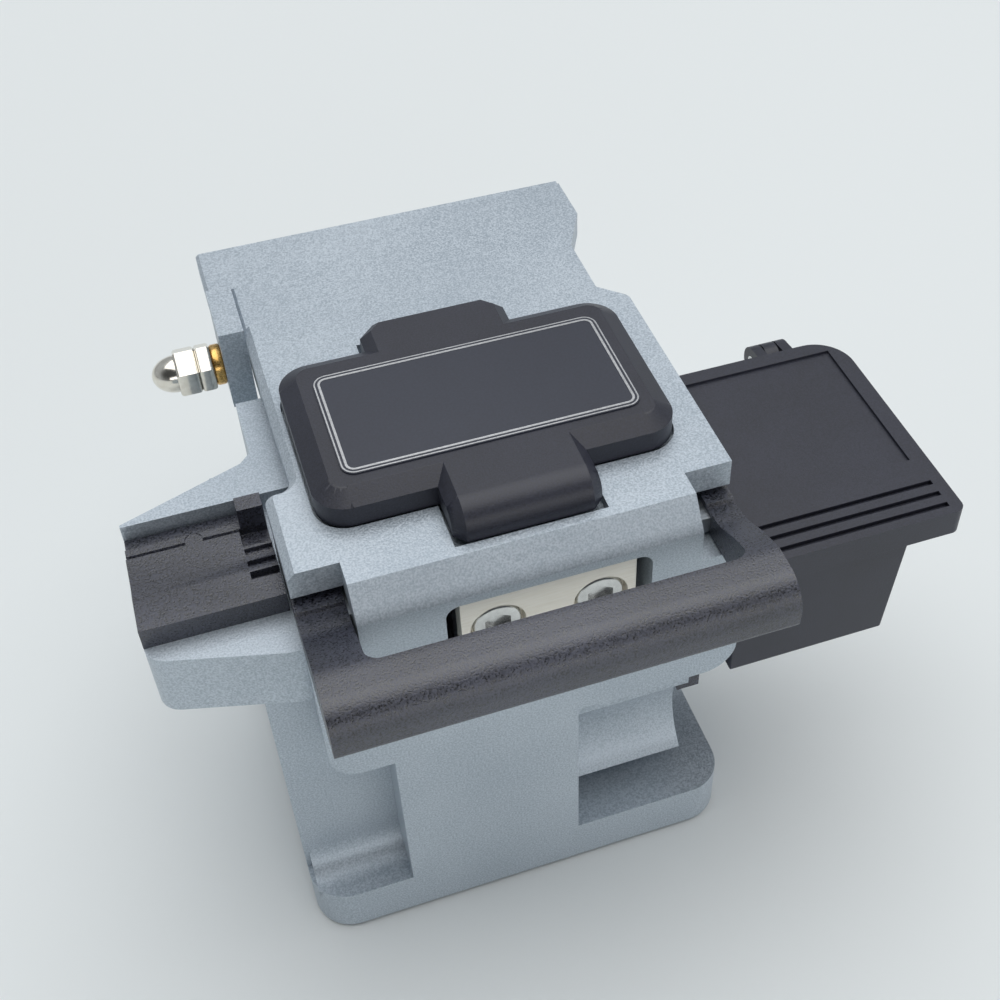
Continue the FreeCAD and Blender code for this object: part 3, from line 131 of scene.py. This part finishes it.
@dataclass(frozen=True)
class Finish:
    """A real material with its made surface: colour, sheen and one fine grain.

    Every length is in real millimetres. The grain is a bump with a change of colour and
    roughness, and a slow cloud lets the colour drift over the piece.
    """

    name: str
    colour: str
    tint: str
    roughness: float
    metallic: float = 0.0
    ior: float = 1.5
    grain_mm: float = 0.35
    grain_height_mm: float = 0.02
    grain_contrast: float = 2.0
    roughness_change: float = 0.08
    grain_detail: float = 2.0
    grain_falloff: float = 0.6
    cloud_mm: float = 14.0
    cloud_detail: float = 3.0
    cloud_range: tuple[float, float] = (0.3, 0.7)
    cloud_drift: float = 0.2
    stretch: tuple[float, float, float] = (1.0, 1.0, 1.0)

    def build(self) -> bpy.types.Material:
        """Make the node tree of this finish.

        Returns:
            The finished material.
        """
        material = bpy.data.materials.new(self.name)
        material.use_nodes = True
        tree = material.node_tree
        tree.nodes.clear()
        place = add_node(tree, "ShaderNodeTexCoord")
        scaled = add_node(tree, "ShaderNodeMapping", {"Scale": self.stretch},
                          {"Vector": (place, "Object")})
        grain = add_node(tree, "ShaderNodeTexNoise",
                         {"Scale": 1.0 / (self.grain_mm * MM), "Detail": self.grain_detail,
                          "Roughness": self.grain_falloff},
                         {"Vector": (scaled, "Vector")})
        cloud = add_node(tree, "ShaderNodeTexNoise",
                         {"Scale": 1.0 / (self.cloud_mm * MM), "Detail": self.cloud_detail},
                         {"Vector": (place, "Object")})
        half_range = 0.5 / self.grain_contrast
        spots = add_node(tree, "ShaderNodeMapRange",
                         {"From Min": 0.5 - half_range, "From Max": 0.5 + half_range},
                         {"Value": (grain, "Fac")})
        drift = add_node(tree, "ShaderNodeMapRange",
                         {"From Min": self.cloud_range[0], "From Max": self.cloud_range[1],
                          "To Min": -self.cloud_drift, "To Max": self.cloud_drift},
                         {"Value": (cloud, "Fac")})
        share = add_node(tree, "ShaderNodeMath", {"operation": "ADD", "use_clamp": True},
                         {0: (spots, "Result"), 1: (drift, "Result")})
        colour = add_node(tree, "ShaderNodeMix",
                          {"data_type": "RGBA", MIX_FIRST_COLOUR: linear(self.colour),
                           MIX_SECOND_COLOUR: linear(self.tint)},
                          {MIX_FACTOR: (share, "Value")})
        rough = add_node(tree, "ShaderNodeMapRange",
                         {"To Min": self.roughness - self.roughness_change,
                          "To Max": self.roughness + self.roughness_change},
                         {"Value": (spots, "Result")})
        bump = add_node(tree, "ShaderNodeBump",
                        {"Strength": 1.0, "Distance": self.grain_height_mm * MM},
                        {"Height": (grain, "Fac")})
        shader = add_node(tree, "ShaderNodeBsdfPrincipled",
                          {"Metallic": self.metallic, "IOR": self.ior},
                          {"Base Color": (colour, MIX_COLOUR_OUT), "Roughness": (rough, "Result"),
                           "Normal": (bump, "Normal")})
        add_node(tree, "ShaderNodeOutputMaterial", links={"Surface": (shader, "BSDF")})
        return material


# Bead-blasted and anodised aluminium: pale blue-grey, matt, with a fine glittering tooth.
# The beads' marks are drawn about three times as coarse as they are, so that they show.
BLASTED_ALUMINIUM = Finish("blasted_blue_grey_aluminium", "9EA9B3", "C4CDD5", 0.44, 0.45,
                           grain_mm=0.23, grain_height_mm=0.04, grain_contrast=3.6,
                           roughness_change=0.12, cloud_mm=22.0)
# Blasted and black anodised aluminium: charcoal with a coarse speckle that catches light.
# Its speckle is drawn about twice as coarse as it is.
BLACK_ANODISED = Finish("black_anodised_aluminium", "0C0D13", "3C3F4E", 0.36, 0.0,
                        ior=1.76, grain_mm=0.22, grain_height_mm=0.06, grain_contrast=3.6,
                        roughness_change=0.12)
# ABS moulded in a spark-eroded tool: even satin black with a very fine bite.
MOULDED_ABS = Finish("moulded_black_abs", "202129", "313340", 0.42, 0.0,
                     grain_mm=0.22, grain_height_mm=0.018, roughness_change=0.06)
# Printed foil label under a satin film: smooth near black.
LABEL_BLACK = Finish("printed_foil_label", "282B37", "303441", 0.4, 0.0,
                     grain_mm=0.3, grain_height_mm=0.003, roughness_change=0.03)
# Hot-stamped silver foil of the label's border lines.
LABEL_SILVER = Finish("stamped_silver_foil", "A8A9AB", "C4C5C7", 0.36, 0.6,
                      grain_mm=0.25, grain_height_mm=0.004, roughness_change=0.06)
# Ground and nickel-plated steel: creamy white metal with fine lines along its length.
GROUND_PLATE = Finish("ground_nickel_plate", "F0EADC", "FCF8EE", 0.4, 0.15,
                      grain_mm=0.16, grain_height_mm=0.003, roughness_change=0.06,
                      stretch=(0.06, 1.0, 1.0))
# Cold-headed stainless screws and pins: bright, barely worn.
STAINLESS = Finish("bright_stainless_steel", "C2C3C1", "DCDDDB", 0.24, 0.9,
                   grain_mm=0.8, grain_height_mm=0.002, roughness_change=0.04)
# Nickel plated over brass: a warm white mirror with slight ripples.
NICKEL = Finish("plated_nickel", "D6D0C4", "E8E4DA", 0.17, 1.0,
                grain_mm=0.8, grain_height_mm=0.004, roughness_change=0.04)
# Turned brass washer with a yellow passivation.
BRASS = Finish("turned_brass", "C99A4E", "E3BC78", 0.28, 1.0,
               grain_mm=0.25, grain_height_mm=0.003, roughness_change=0.06)
# Milled aluminium of the carriage inside the body, with straight cutter lines.
MILLED_ALUMINIUM = Finish("milled_aluminium", "B4B8BC", "C9CCCF", 0.36, 1.0,
                          grain_mm=0.3, grain_height_mm=0.004, roughness_change=0.08,
                          stretch=(0.1, 1.0, 1.0))
# Hardened and ground rail steel, with grinding lines along the stroke.
RAIL_STEEL = Finish("ground_rail_steel", "A4A6A9", "BDBFC1", 0.28, 1.0,
                    grain_mm=0.2, grain_height_mm=0.002, roughness_change=0.06,
                    stretch=(1.0, 0.06, 1.0))
# Sintered tungsten carbide with a lapped edge: dark, dense and smooth.
CARBIDE = Finish("lapped_tungsten_carbide", "686B71", "7E8186", 0.24, 1.0,
                 grain_mm=0.2, grain_height_mm=0.002, roughness_change=0.05)
# Nitrile rubber of the sheet under the foot and of the clamp faces: matt, faintly dusty.
RUBBER = Finish("nitrile_rubber", "18181A", "262628", 0.75, 0.0,
                grain_mm=0.35, grain_height_mm=0.03, roughness_change=0.08)
# Drawn spring wire.
SPRING_WIRE = Finish("drawn_spring_wire", "93959A", "A9ABAE", 0.3, 1.0,
                     grain_mm=0.2, grain_height_mm=0.002, roughness_change=0.06)

NODE_FINISHES: dict[Finish, tuple[str, ...]] = {
    BLASTED_ALUMINIUM: ("base_body", "lid_plate"),
    BLACK_ANODISED: ("slider_handle", "fibre_guide_plate", "guide_plate_screws", "box_bracket"),
    MOULDED_ABS: ("press_pad", "scrap_box", "scrap_box_lid"),
    LABEL_BLACK: ("label_plate",),
    GROUND_PLATE: ("front_plate",),
    MILLED_ALUMINIUM: ("carriage_block", "slider_yoke"),
    RAIL_STEEL: ("guide_rail", "bearing_block"),
    STAINLESS: ("rail_screws", "bearing_screws", "front_plate_screws",
                "bracket_screws", "disc_screw", "pad_guide_pins", "hinge_axle", "scrap_lid_pin"),
    NICKEL: ("lock_nut", "cap_nut", "latch_magnets", "lid_strikers", "disc_hub", "disc_cap"),
    BRASS: ("spring_washer",),
    RUBBER: ("rubber_base_pad", "lower_clamp_left", "lower_clamp_right", "upper_clamp_left",
             "upper_clamp_right", "anvil"),
    CARBIDE: ("scoring_disc",),
    SPRING_WIRE: ("pad_springs",),
}


class FinishShop:
    """Builds each finish once and puts it on CAD nodes and new pieces."""

    def __init__(self) -> None:
        """Start with no finish built."""
        self.made: dict[str, bpy.types.Material] = {}

    def material(self, finish: Finish) -> bpy.types.Material:
        """Return the finish's material, and build it the first time.

        Args:
            finish: The finish wanted.

        Returns:
            Its material.
        """
        if finish.name not in self.made:
            self.made[finish.name] = finish.build()
        return self.made[finish.name]

    def coat(self, piece: bpy.types.Object, finish: Finish) -> None:
        """Give a whole piece one finish.

        Args:
            piece: The object to dress.
            finish: Its finish.
        """
        piece.data.materials.clear()
        piece.data.materials.append(self.material(finish))

    def dress_nodes(self) -> None:
        """Give every CAD node the finish listed for it."""
        for finish, names in NODE_FINISHES.items():
            for name in names:
                self.coat(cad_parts[name], finish)
                LOG.info("%s is dressed in %s", name, finish.name)


# ------------------------------------------------------------------ sub-assemblies
@dataclass
class SubAssembly:
    """Pieces that are built and dressed together.

    Lengths are in millimetres, areas in square millimetres and angles in degrees.
    """

    shop: FinishShop
    smooth_angle: float = 24.0

    def finish_piece(self, name: str, shape: bmesh.types.BMesh, finish: Finish, body: Body,
                     slot: str, nodes: tuple[str, ...]) -> bpy.types.Object:
        """Turn a built shape into a finished piece of the object.

        Args:
            name: The piece's name.
            shape: The built mesh, in place and in metres; it is freed.
            finish: The piece's finish.
            body: The body that it rides on.
            slot: The record's material slot; not used.
            nodes: The CAD nodes that it stands for.

        Returns:
            The piece.
        """
        mesh = bpy.data.meshes.new(name)
        shape.to_mesh(mesh)
        shape.free()
        mesh.shade_smooth()
        mesh.set_sharp_from_angle(angle=math.radians(self.smooth_angle))
        piece = bpy.data.objects.new(name, mesh)
        bpy.context.scene.collection.objects.link(piece)
        self.shop.coat(piece, finish)
        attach(piece, body.value)
        if nodes:
            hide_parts(*nodes)
        LOG.info("%s is built with %d faces", name, len(mesh.polygons))
        return piece


@dataclass(frozen=True)
class BrokenEdges:
    """One CAD node's broken edges, with their width in millimetres and the node's finish."""

    node: str
    width: float
    finish: Finish
    body: Body
    slot: str


@dataclass
class Casting(SubAssembly):
    """The body, the lid and the black pieces that show their broken edges."""

    weld_distance: float = 0.002
    flat_angle: float = 0.6
    corner_angle: float = 30.0
    smallest_face: float = 1.0
    edge_segments: int = 2
    face_weight: int = 100
    listed: tuple[BrokenEdges, ...] = (
        BrokenEdges("base_body", 0.25, BLASTED_ALUMINIUM, Body.BASE, "body_paint"),
        BrokenEdges("lid_plate", 0.2, BLASTED_ALUMINIUM, Body.LID, "body_paint"),
        BrokenEdges("slider_handle", 0.25, BLACK_ANODISED, Body.SLIDER, "black_anodised"),
        BrokenEdges("fibre_guide_plate", 0.1, BLACK_ANODISED, Body.BASE, "black_anodised"),
        BrokenEdges("press_pad", 0.25, MOULDED_ABS, Body.PAD, "black_moulding"),
        BrokenEdges("scrap_box", 0.3, MOULDED_ABS, Body.BASE, "black_moulding"),
        BrokenEdges("scrap_box_lid", 0.15, MOULDED_ABS, Body.BOX_LID, "black_moulding"),
        BrokenEdges("front_plate", 0.12, GROUND_PLATE, Body.SLIDER, "bright_plate"),
    )

    def build(self) -> None:
        """Break the edges of every listed node."""
        for edges in self.listed:
            self.soften(edges)

    def soften(self, edges: BrokenEdges) -> None:
        """Stand a copy of a CAD node with broken edges in for it.

        Args:
            edges: The node, the width of its edges and its finish.
        """
        shape = bmesh.new()
        shape.from_mesh(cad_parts[edges.node].data)
        bmesh.ops.remove_doubles(shape, verts=shape.verts, dist=self.weld_distance * MM)
        bmesh.ops.dissolve_limit(shape, angle_limit=math.radians(self.flat_angle),
                                 verts=shape.verts, edges=shape.edges)
        weight = shape.edges.layers.float.new("bevel_weight_edge")
        for edge in filter(self.is_corner, shape.edges):
            edge[weight] = 1.0
        piece = self.finish_piece(edges.node + "_finished", shape, edges.finish, edges.body,
                                  edges.slot, (edges.node,))
        rounding = piece.modifiers.new("broken_edges", "BEVEL")
        rounding.width = edges.width * MM
        rounding.segments = self.edge_segments
        rounding.limit_method = "WEIGHT"
        rounding.use_clamp_overlap = True
        shading = piece.modifiers.new("even_shading", "WEIGHTED_NORMAL")
        shading.mode = "FACE_AREA"
        shading.weight = self.face_weight
        shading.keep_sharp = True

    def is_corner(self, edge: bmesh.types.BMEdge) -> bool:
        """Tell whether an edge is a real corner between two faces large enough to break it.

        Args:
            edge: The edge to judge.

        Returns:
            True for a corner that gets broken.
        """
        if len(edge.link_faces) != 2 or edge.calc_face_angle() <= math.radians(self.corner_angle):
            return False
        smallest = min(face.calc_area() for face in edge.link_faces)
        return smallest > self.smallest_face * MM * MM


@dataclass
class HingeStack(SubAssembly):
    """The two nickel nuts and the brass washer on the axle's left end."""

    nut_flats: float = 5.5
    nut_edge: float = 0.35
    lock_nut_turn: float = 90.0
    cap_nut_turn: float = 30.0
    cap_hexagon: float = 2.7
    dome_width: float = 4.7
    dome_rings: int = 24
    washer_edge: float = 0.3
    edge_segments: int = 3

    def build(self) -> None:
        """Build the washer, the lock nut and the cap nut."""
        self.build_washer()
        self.build_lock_nut()
        self.build_cap_nut()

    def build_washer(self) -> None:
        """Build the brass washer, a disc with rounded rims."""
        low, high = (Vector(corner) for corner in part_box("spring_washer"))
        washer = self.prism(ROUND_SIDES, (high.z - low.z) / 2.0, high.x - low.x,
                            self.washer_edge, 0.0)
        self.lay_along_axle(washer, (low + high) / 2.0)
        self.finish_piece("brass_washer", washer, BRASS, Body.BASE, "brass", ("spring_washer",))

    def build_lock_nut(self) -> None:
        """Build the thin hexagon nut."""
        low, high = (Vector(corner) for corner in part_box("lock_nut"))
        nut = self.prism(HEXAGON_SIDES, self.nut_corner(), high.x - low.x, self.nut_edge,
                         self.lock_nut_turn)
        self.lay_along_axle(nut, (low + high) / 2.0)
        self.finish_piece("lock_nut_finished", nut, NICKEL, Body.BASE, "nickel", ("lock_nut",))

    def build_cap_nut(self) -> None:
        """Build the cap nut: a hexagon and a round dome in one piece."""
        low, high = (Vector(corner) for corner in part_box("cap_nut"))
        hexagon_length = self.cap_hexagon * MM
        dome_radius = self.dome_width / 2.0 * MM
        shape = self.prism(HEXAGON_SIDES, self.nut_corner(), hexagon_length, self.nut_edge,
                           self.cap_nut_turn)
        hexagon = set(shape.verts)
        bmesh.ops.create_uvsphere(shape, u_segments=ROUND_SIDES, v_segments=self.dome_rings,
                                  radius=dome_radius)
        dome = [vert for vert in shape.verts if vert not in hexagon]
        reach = (high.x - low.x) - hexagon_length
        bmesh.ops.scale(shape, vec=(1.0, 1.0, reach / dome_radius), verts=dome)
        bmesh.ops.translate(shape, vec=(0.0, 0.0, -hexagon_length / 2.0), verts=dome)
        self.lay_along_axle(shape, Vector((high.x - hexagon_length / 2.0, (low.y + high.y) / 2.0,
                                           (low.z + high.z) / 2.0)))
        self.finish_piece("cap_nut_finished", shape, NICKEL, Body.BASE, "nickel", ("cap_nut",))

    def nut_corner(self) -> float:
        """Work out the nuts' radius over their corners.

        Returns:
            The radius in metres.
        """
        return self.nut_flats / math.sqrt(3.0) * MM

    @staticmethod
    def lay_along_axle(shape: bmesh.types.BMesh, middle: Vector) -> None:
        """Lay an upright shape along X and move it to its place on the axle.

        Args:
            shape: The mesh, round the origin.
            middle: Where its middle goes.
        """
        lie = Matrix.Rotation(RIGHT_ANGLE, 4, "Y")
        bmesh.ops.transform(shape, matrix=Matrix.Translation(middle) @ lie, verts=shape.verts)

    def prism(self, sides: int, radius: float, length: float, edge: float,
              turn: float) -> bmesh.types.BMesh:
        """Shape an upright prism or disc round the origin, with broken rims.

        Args:
            sides: Six for a hexagon, more for a round.
            radius: The radius over the corners in metres.
            length: The height in metres.
            edge: The width of the broken rims in millimetres.
            turn: The turn about its axis in degrees.

        Returns:
            The shape.
        """
        shape = bmesh.new()
        bmesh.ops.create_cone(shape, cap_ends=True, segments=sides, radius1=radius,
                              radius2=radius, depth=length)
        rims = [rim for rim in shape.edges if abs(rim.verts[0].co.z - rim.verts[1].co.z) < LEVEL]
        bmesh.ops.bevel(shape, geom=rims, offset=edge * MM, segments=self.edge_segments,
                        profile=0.5, affect="EDGES", material=-1, clamp_overlap=True)
        bmesh.ops.transform(shape, matrix=Matrix.Rotation(math.radians(turn), 4, "Z"),
                            verts=shape.verts)
        return shape


@dataclass
class Label(SubAssembly):
    """The bare label: a thin plate with two silver border lines."""

    corner: float = 1.6
    corner_segments: int = 8
    outer_inset: float = 0.12
    outer_width: float = 0.16
    inner_inset: float = 0.55
    inner_width: float = 0.27
    line_height: float = 0.04

    def build(self) -> None:
        """Build the plate and its border lines."""
        low, high = (Vector(corner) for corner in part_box("label_plate"))
        plate_top = high.z - self.line_height * MM
        plate = bmesh.new()
        face = self.rounded_face(plate, 0.0, plate_top)
        self.thicken(plate, [face], plate_top - low.z)
        self.finish_piece("label_face", plate, LABEL_BLACK, Body.PAD, "label", ("label_plate",))
        for name, inset, width in (("label_outer_line", self.outer_inset, self.outer_width),
                                   ("label_inner_line", self.inner_inset, self.inner_width)):
            line = bmesh.new()
            face = self.rounded_face(line, inset, high.z)
            bmesh.ops.inset_individual(line, faces=[face], thickness=width * MM)
            bmesh.ops.delete(line, geom=[face], context="FACES")
            self.thicken(line, list(line.faces), 2.0 * self.line_height * MM)
            self.finish_piece(name, line, LABEL_SILVER, Body.PAD, "label", ())

    def rounded_face(self, shape: bmesh.types.BMesh, inset: float,
                     height: float) -> bmesh.types.BMFace:
        """Lay one flat face with round corners, set in from the label's edge.

        Args:
            shape: The empty mesh that gets the face.
            inset: The distance from the label's edge in millimetres.
            height: The face's height in metres.

        Returns:
            The face.
        """
        low, high = (Vector(corner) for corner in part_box("label_plate"))
        middle = (low + high) / 2.0
        half = (high - low) / 2.0 - Vector((inset, inset, 0.0)) * MM
        bmesh.ops.create_grid(shape, x_segments=1, y_segments=1, size=1.0)
        place = Matrix.Translation((middle.x, middle.y, height)) @ Matrix.Diagonal(
            (half.x, half.y, 1.0, 1.0))
        bmesh.ops.transform(shape, matrix=place, verts=shape.verts)
        bmesh.ops.bevel(shape, geom=list(shape.verts), offset=(self.corner - inset) * MM,
                        segments=self.corner_segments, profile=0.5, affect="VERTICES",
                        material=-1)
        return list(shape.faces)[-1]

    @staticmethod
    def thicken(shape: bmesh.types.BMesh, faces: list[bmesh.types.BMFace],
                depth: float) -> None:
        """Pull flat faces down into closed solids.

        Args:
            shape: The mesh.
            faces: The flat faces, which become the top.
            depth: The thickness in metres.
        """
        result = bmesh.ops.extrude_face_region(shape, geom=faces, use_keep_orig=True)
        lower = [part for part in result["geom"] if isinstance(part, bmesh.types.BMVert)]
        bmesh.ops.translate(shape, vec=(0.0, 0.0, -depth), verts=lower)
        bmesh.ops.recalc_face_normals(shape, faces=shape.faces)


@dataclass
class PlateScrews(SubAssembly):
    """The two socket screws that hold the front plate."""

    head_width: float = 5.5
    head_height: float = 1.25
    head_edge: float = 0.45
    head_edge_segments: int = 4
    socket_flats: float = 2.9
    socket_depth: float = 0.9
    shank_width: float = 3.0
    shank_sides: int = 32

    def build(self) -> None:
        """Build both heads with their hexagon sockets."""
        low, high = (Vector(corner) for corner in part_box("front_plate_screws"))
        half = self.head_width / 2.0 * MM
        height = (low.z + high.z) / 2.0
        shape = bmesh.new()
        for across in (low.x + half, high.x - half):
            self.add_head(shape, Vector((across, low.y, height)), high.y - low.y)
        self.finish_piece("front_plate_screw_heads", shape, STAINLESS, Body.SLIDER,
                          "screw_steel", ("front_plate_screws",))

    def add_head(self, shape: bmesh.types.BMesh, front: Vector, length: float) -> None:
        """Add one screw whose head faces the front.

        Args:
            shape: The mesh that gets the screw.
            front: The middle of the head's front face.
            length: The whole screw's length in metres.
        """
        before = set(shape.verts)
        rim = bmesh.ops.create_circle(shape, segments=ROUND_SIDES,
                                      radius=self.head_width / 2.0 * MM)
        socket = bmesh.ops.create_circle(shape, segments=HEXAGON_SIDES,
                                         radius=self.socket_flats / math.sqrt(3.0) * MM)
        rim_edges = list({edge for vert in rim["verts"] for edge in vert.link_edges})
        socket_edges = list({edge for vert in socket["verts"] for edge in vert.link_edges})
        bmesh.ops.bridge_loops(shape, edges=rim_edges + socket_edges)
        self.sink_and_close(shape, socket_edges, self.socket_depth * MM)
        self.sink_and_close(shape, rim_edges, self.head_height * MM)
        bmesh.ops.bevel(shape, geom=rim_edges, offset=self.head_edge * MM,
                        segments=self.head_edge_segments, profile=0.5, affect="EDGES",
                        material=-1)
        shank_length = length - self.head_height * MM
        shank_middle = -self.head_height * MM - shank_length / 2.0
        bmesh.ops.create_cone(shape, cap_ends=True, segments=self.shank_sides,
                              radius1=self.shank_width / 2.0 * MM,
                              radius2=self.shank_width / 2.0 * MM, depth=shank_length,
                              matrix=Matrix.Translation((0.0, 0.0, shank_middle)))
        verts = [vert for vert in shape.verts if vert not in before]
        face_front = Matrix.Rotation(RIGHT_ANGLE, 4, "X")
        bmesh.ops.transform(shape, matrix=Matrix.Translation(front) @ face_front, verts=verts)
        bmesh.ops.recalc_face_normals(shape, faces=shape.faces)

    @staticmethod
    def sink_and_close(shape: bmesh.types.BMesh, loop: list[bmesh.types.BMEdge],
                       depth: float) -> None:
        """Draw a wall down from a closed loop of edges and close it with a flat floor.

        Args:
            shape: The mesh that holds the loop.
            loop: The edges of the loop.
            depth: The depth of the wall in metres.
        """
        wall = bmesh.ops.extrude_edge_only(shape, edges=loop)["geom"]
        lower = [part for part in wall if isinstance(part, bmesh.types.BMVert)]
        bmesh.ops.translate(shape, vec=(0.0, 0.0, -depth), verts=lower)
        bmesh.ops.contextual_create(shape, geom=lower)


# ------------------------------------------------------------------ studio
@dataclass(frozen=True)
class Softbox:
    """A rectangular soft lamp: its place and size in metres and its power in watts."""

    name: str
    place: tuple[float, float, float]
    size: tuple[float, float]
    power: float


@dataclass(frozen=True)
class Studio:
    """The pale floor, the tent, the soft lamps and the camera. Lengths are in metres."""

    floor_size: float = 3.0
    floor_colour: str = "E6EAEA"
    floor_roughness: float = 0.9
    tent_colour: str = "E8EEF4"
    tent_strength: float = 0.5
    seen_strength: float = 1.0
    dark_side: tuple[float, float, float] = (-0.2, -0.7, 0.68)
    dark_strength: float = 0.08
    dark_range: tuple[float, float] = (0.35, 0.9)
    camera_place: tuple[float, float, float] = (-0.0287, -0.1186, 0.1713)
    camera_forward: tuple[float, float, float] = (0.221, 0.668, -0.710)
    camera_roll: float = -1.05
    camera_lens: float = 51.08
    camera_sensor: float = 36.0
    camera_shift: tuple[float, float] = (-0.0514, -0.0199)
    camera_nearest: float = 0.01
    lamps: tuple[Softbox, ...] = (
        Softbox("overhead_softbox", (0.2, 0.2, 1.9), (2.4, 2.2), 34.0),
        Softbox("low_front_softbox", (0.3, -1.6, 0.45), (2.6, 0.4), 8.0),
    )

    def build(self) -> None:
        """Set up the whole studio."""
        self.lay_floor()
        self.light_world()
        self.hang_lamps()
        self.place_camera()

    def lay_floor(self) -> None:
        """Lay a plain pale floor at the height the part stands on."""
        mesh = bpy.data.meshes.new("studio_floor")
        shape = bmesh.new()
        bmesh.ops.create_grid(shape, x_segments=1, y_segments=1, size=self.floor_size)
        shape.to_mesh(mesh)
        shape.free()
        floor = bpy.data.objects.new("studio_floor", mesh)
        bpy.context.scene.collection.objects.link(floor)
        material = bpy.data.materials.new("matt_paper_backdrop")
        material.use_nodes = True
        shader = material.node_tree.nodes["Principled BSDF"]
        shader.inputs["Base Color"].default_value = linear(self.floor_colour)
        shader.inputs["Roughness"].default_value = self.floor_roughness
        mesh.materials.append(material)
        floor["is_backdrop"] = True

    def light_world(self) -> None:
        """Hang a pale tent round the part, with its dark opening at the front above."""
        world = bpy.data.worlds.new("white_tent")
        bpy.context.scene.world = world
        world.use_nodes = True
        tree = world.node_tree
        tree.nodes.clear()
        rays = add_node(tree, "ShaderNodeLightPath")
        direction = add_node(tree, "ShaderNodeTexCoord")
        facing = add_node(tree, "ShaderNodeVectorMath",
                          {"operation": "DOT_PRODUCT", 1: Vector(self.dark_side).normalized()},
                          {0: (direction, "Generated")})
        shade = add_node(tree, "ShaderNodeMapRange",
                         {"interpolation_type": "SMOOTHSTEP",
                          "From Min": self.dark_range[0], "From Max": self.dark_range[1],
                          "To Min": self.tent_strength, "To Max": self.dark_strength},
                         {"Value": (facing, "Value")})
        strength = add_node(tree, "ShaderNodeMix", {MIX_SECOND_VALUE: self.seen_strength},
                            {MIX_FACTOR: (rays, "Is Camera Ray"),
                             MIX_FIRST_VALUE: (shade, "Result")})
        glow = add_node(tree, "ShaderNodeBackground", {"Color": linear(self.tent_colour)},
                        {"Strength": (strength, MIX_VALUE_OUT)})
        add_node(tree, "ShaderNodeOutputWorld", links={"Surface": (glow, "Background")})

    def hang_lamps(self) -> None:
        """Hang the soft lamps, each turned to the part's middle."""
        low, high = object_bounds()
        middle = (Vector(low) + Vector(high)) / 2.0
        for softbox in self.lamps:
            data = bpy.data.lights.new(softbox.name, "AREA")
            data.shape = "RECTANGLE"
            data.size, data.size_y = softbox.size
            data.energy = softbox.power
            lamp = bpy.data.objects.new(softbox.name, data)
            bpy.context.scene.collection.objects.link(lamp)
            lamp.location = softbox.place
            aim = middle - Vector(softbox.place)
            lamp.rotation_euler = aim.to_track_quat("-Z", "Y").to_euler()

    def place_camera(self) -> None:
        """Set the camera that looks down on the part from its front left."""
        data = bpy.data.cameras.new("camera")
        data.lens = self.camera_lens
        data.sensor_width = self.camera_sensor
        data.shift_x, data.shift_y = self.camera_shift
        data.clip_start = self.camera_nearest
        camera = bpy.data.objects.new("camera", data)
        bpy.context.scene.collection.objects.link(camera)
        forward = Vector(self.camera_forward).normalized()
        level = forward.cross(Vector((0.0, 0.0, 1.0))).normalized()
        upward = level.cross(forward)
        roll = math.radians(self.camera_roll)
        right = level * math.cos(roll) + upward * math.sin(roll)
        up = upward * math.cos(roll) - level * math.sin(roll)
        turn = Matrix((right, up, -forward)).transposed().to_4x4()
        camera.matrix_world = Matrix.Translation(self.camera_place) @ turn
        bpy.context.scene.camera = camera


def main() -> None:
    """Dress the part and build the studio."""
    logging.basicConfig(level=logging.INFO, format="%(name)s: %(message)s")
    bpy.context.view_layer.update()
    bpy.context.scene.view_settings.view_transform = "Standard"
    shop = FinishShop()
    shop.dress_nodes()
    for assembly in (Casting(shop), HingeStack(shop), Label(shop), PlateScrews(shop)):
        assembly.build()
        LOG.info("%s is in place", type(assembly).__name__)
    Studio().build()


if __name__ == "__main__":
    main()
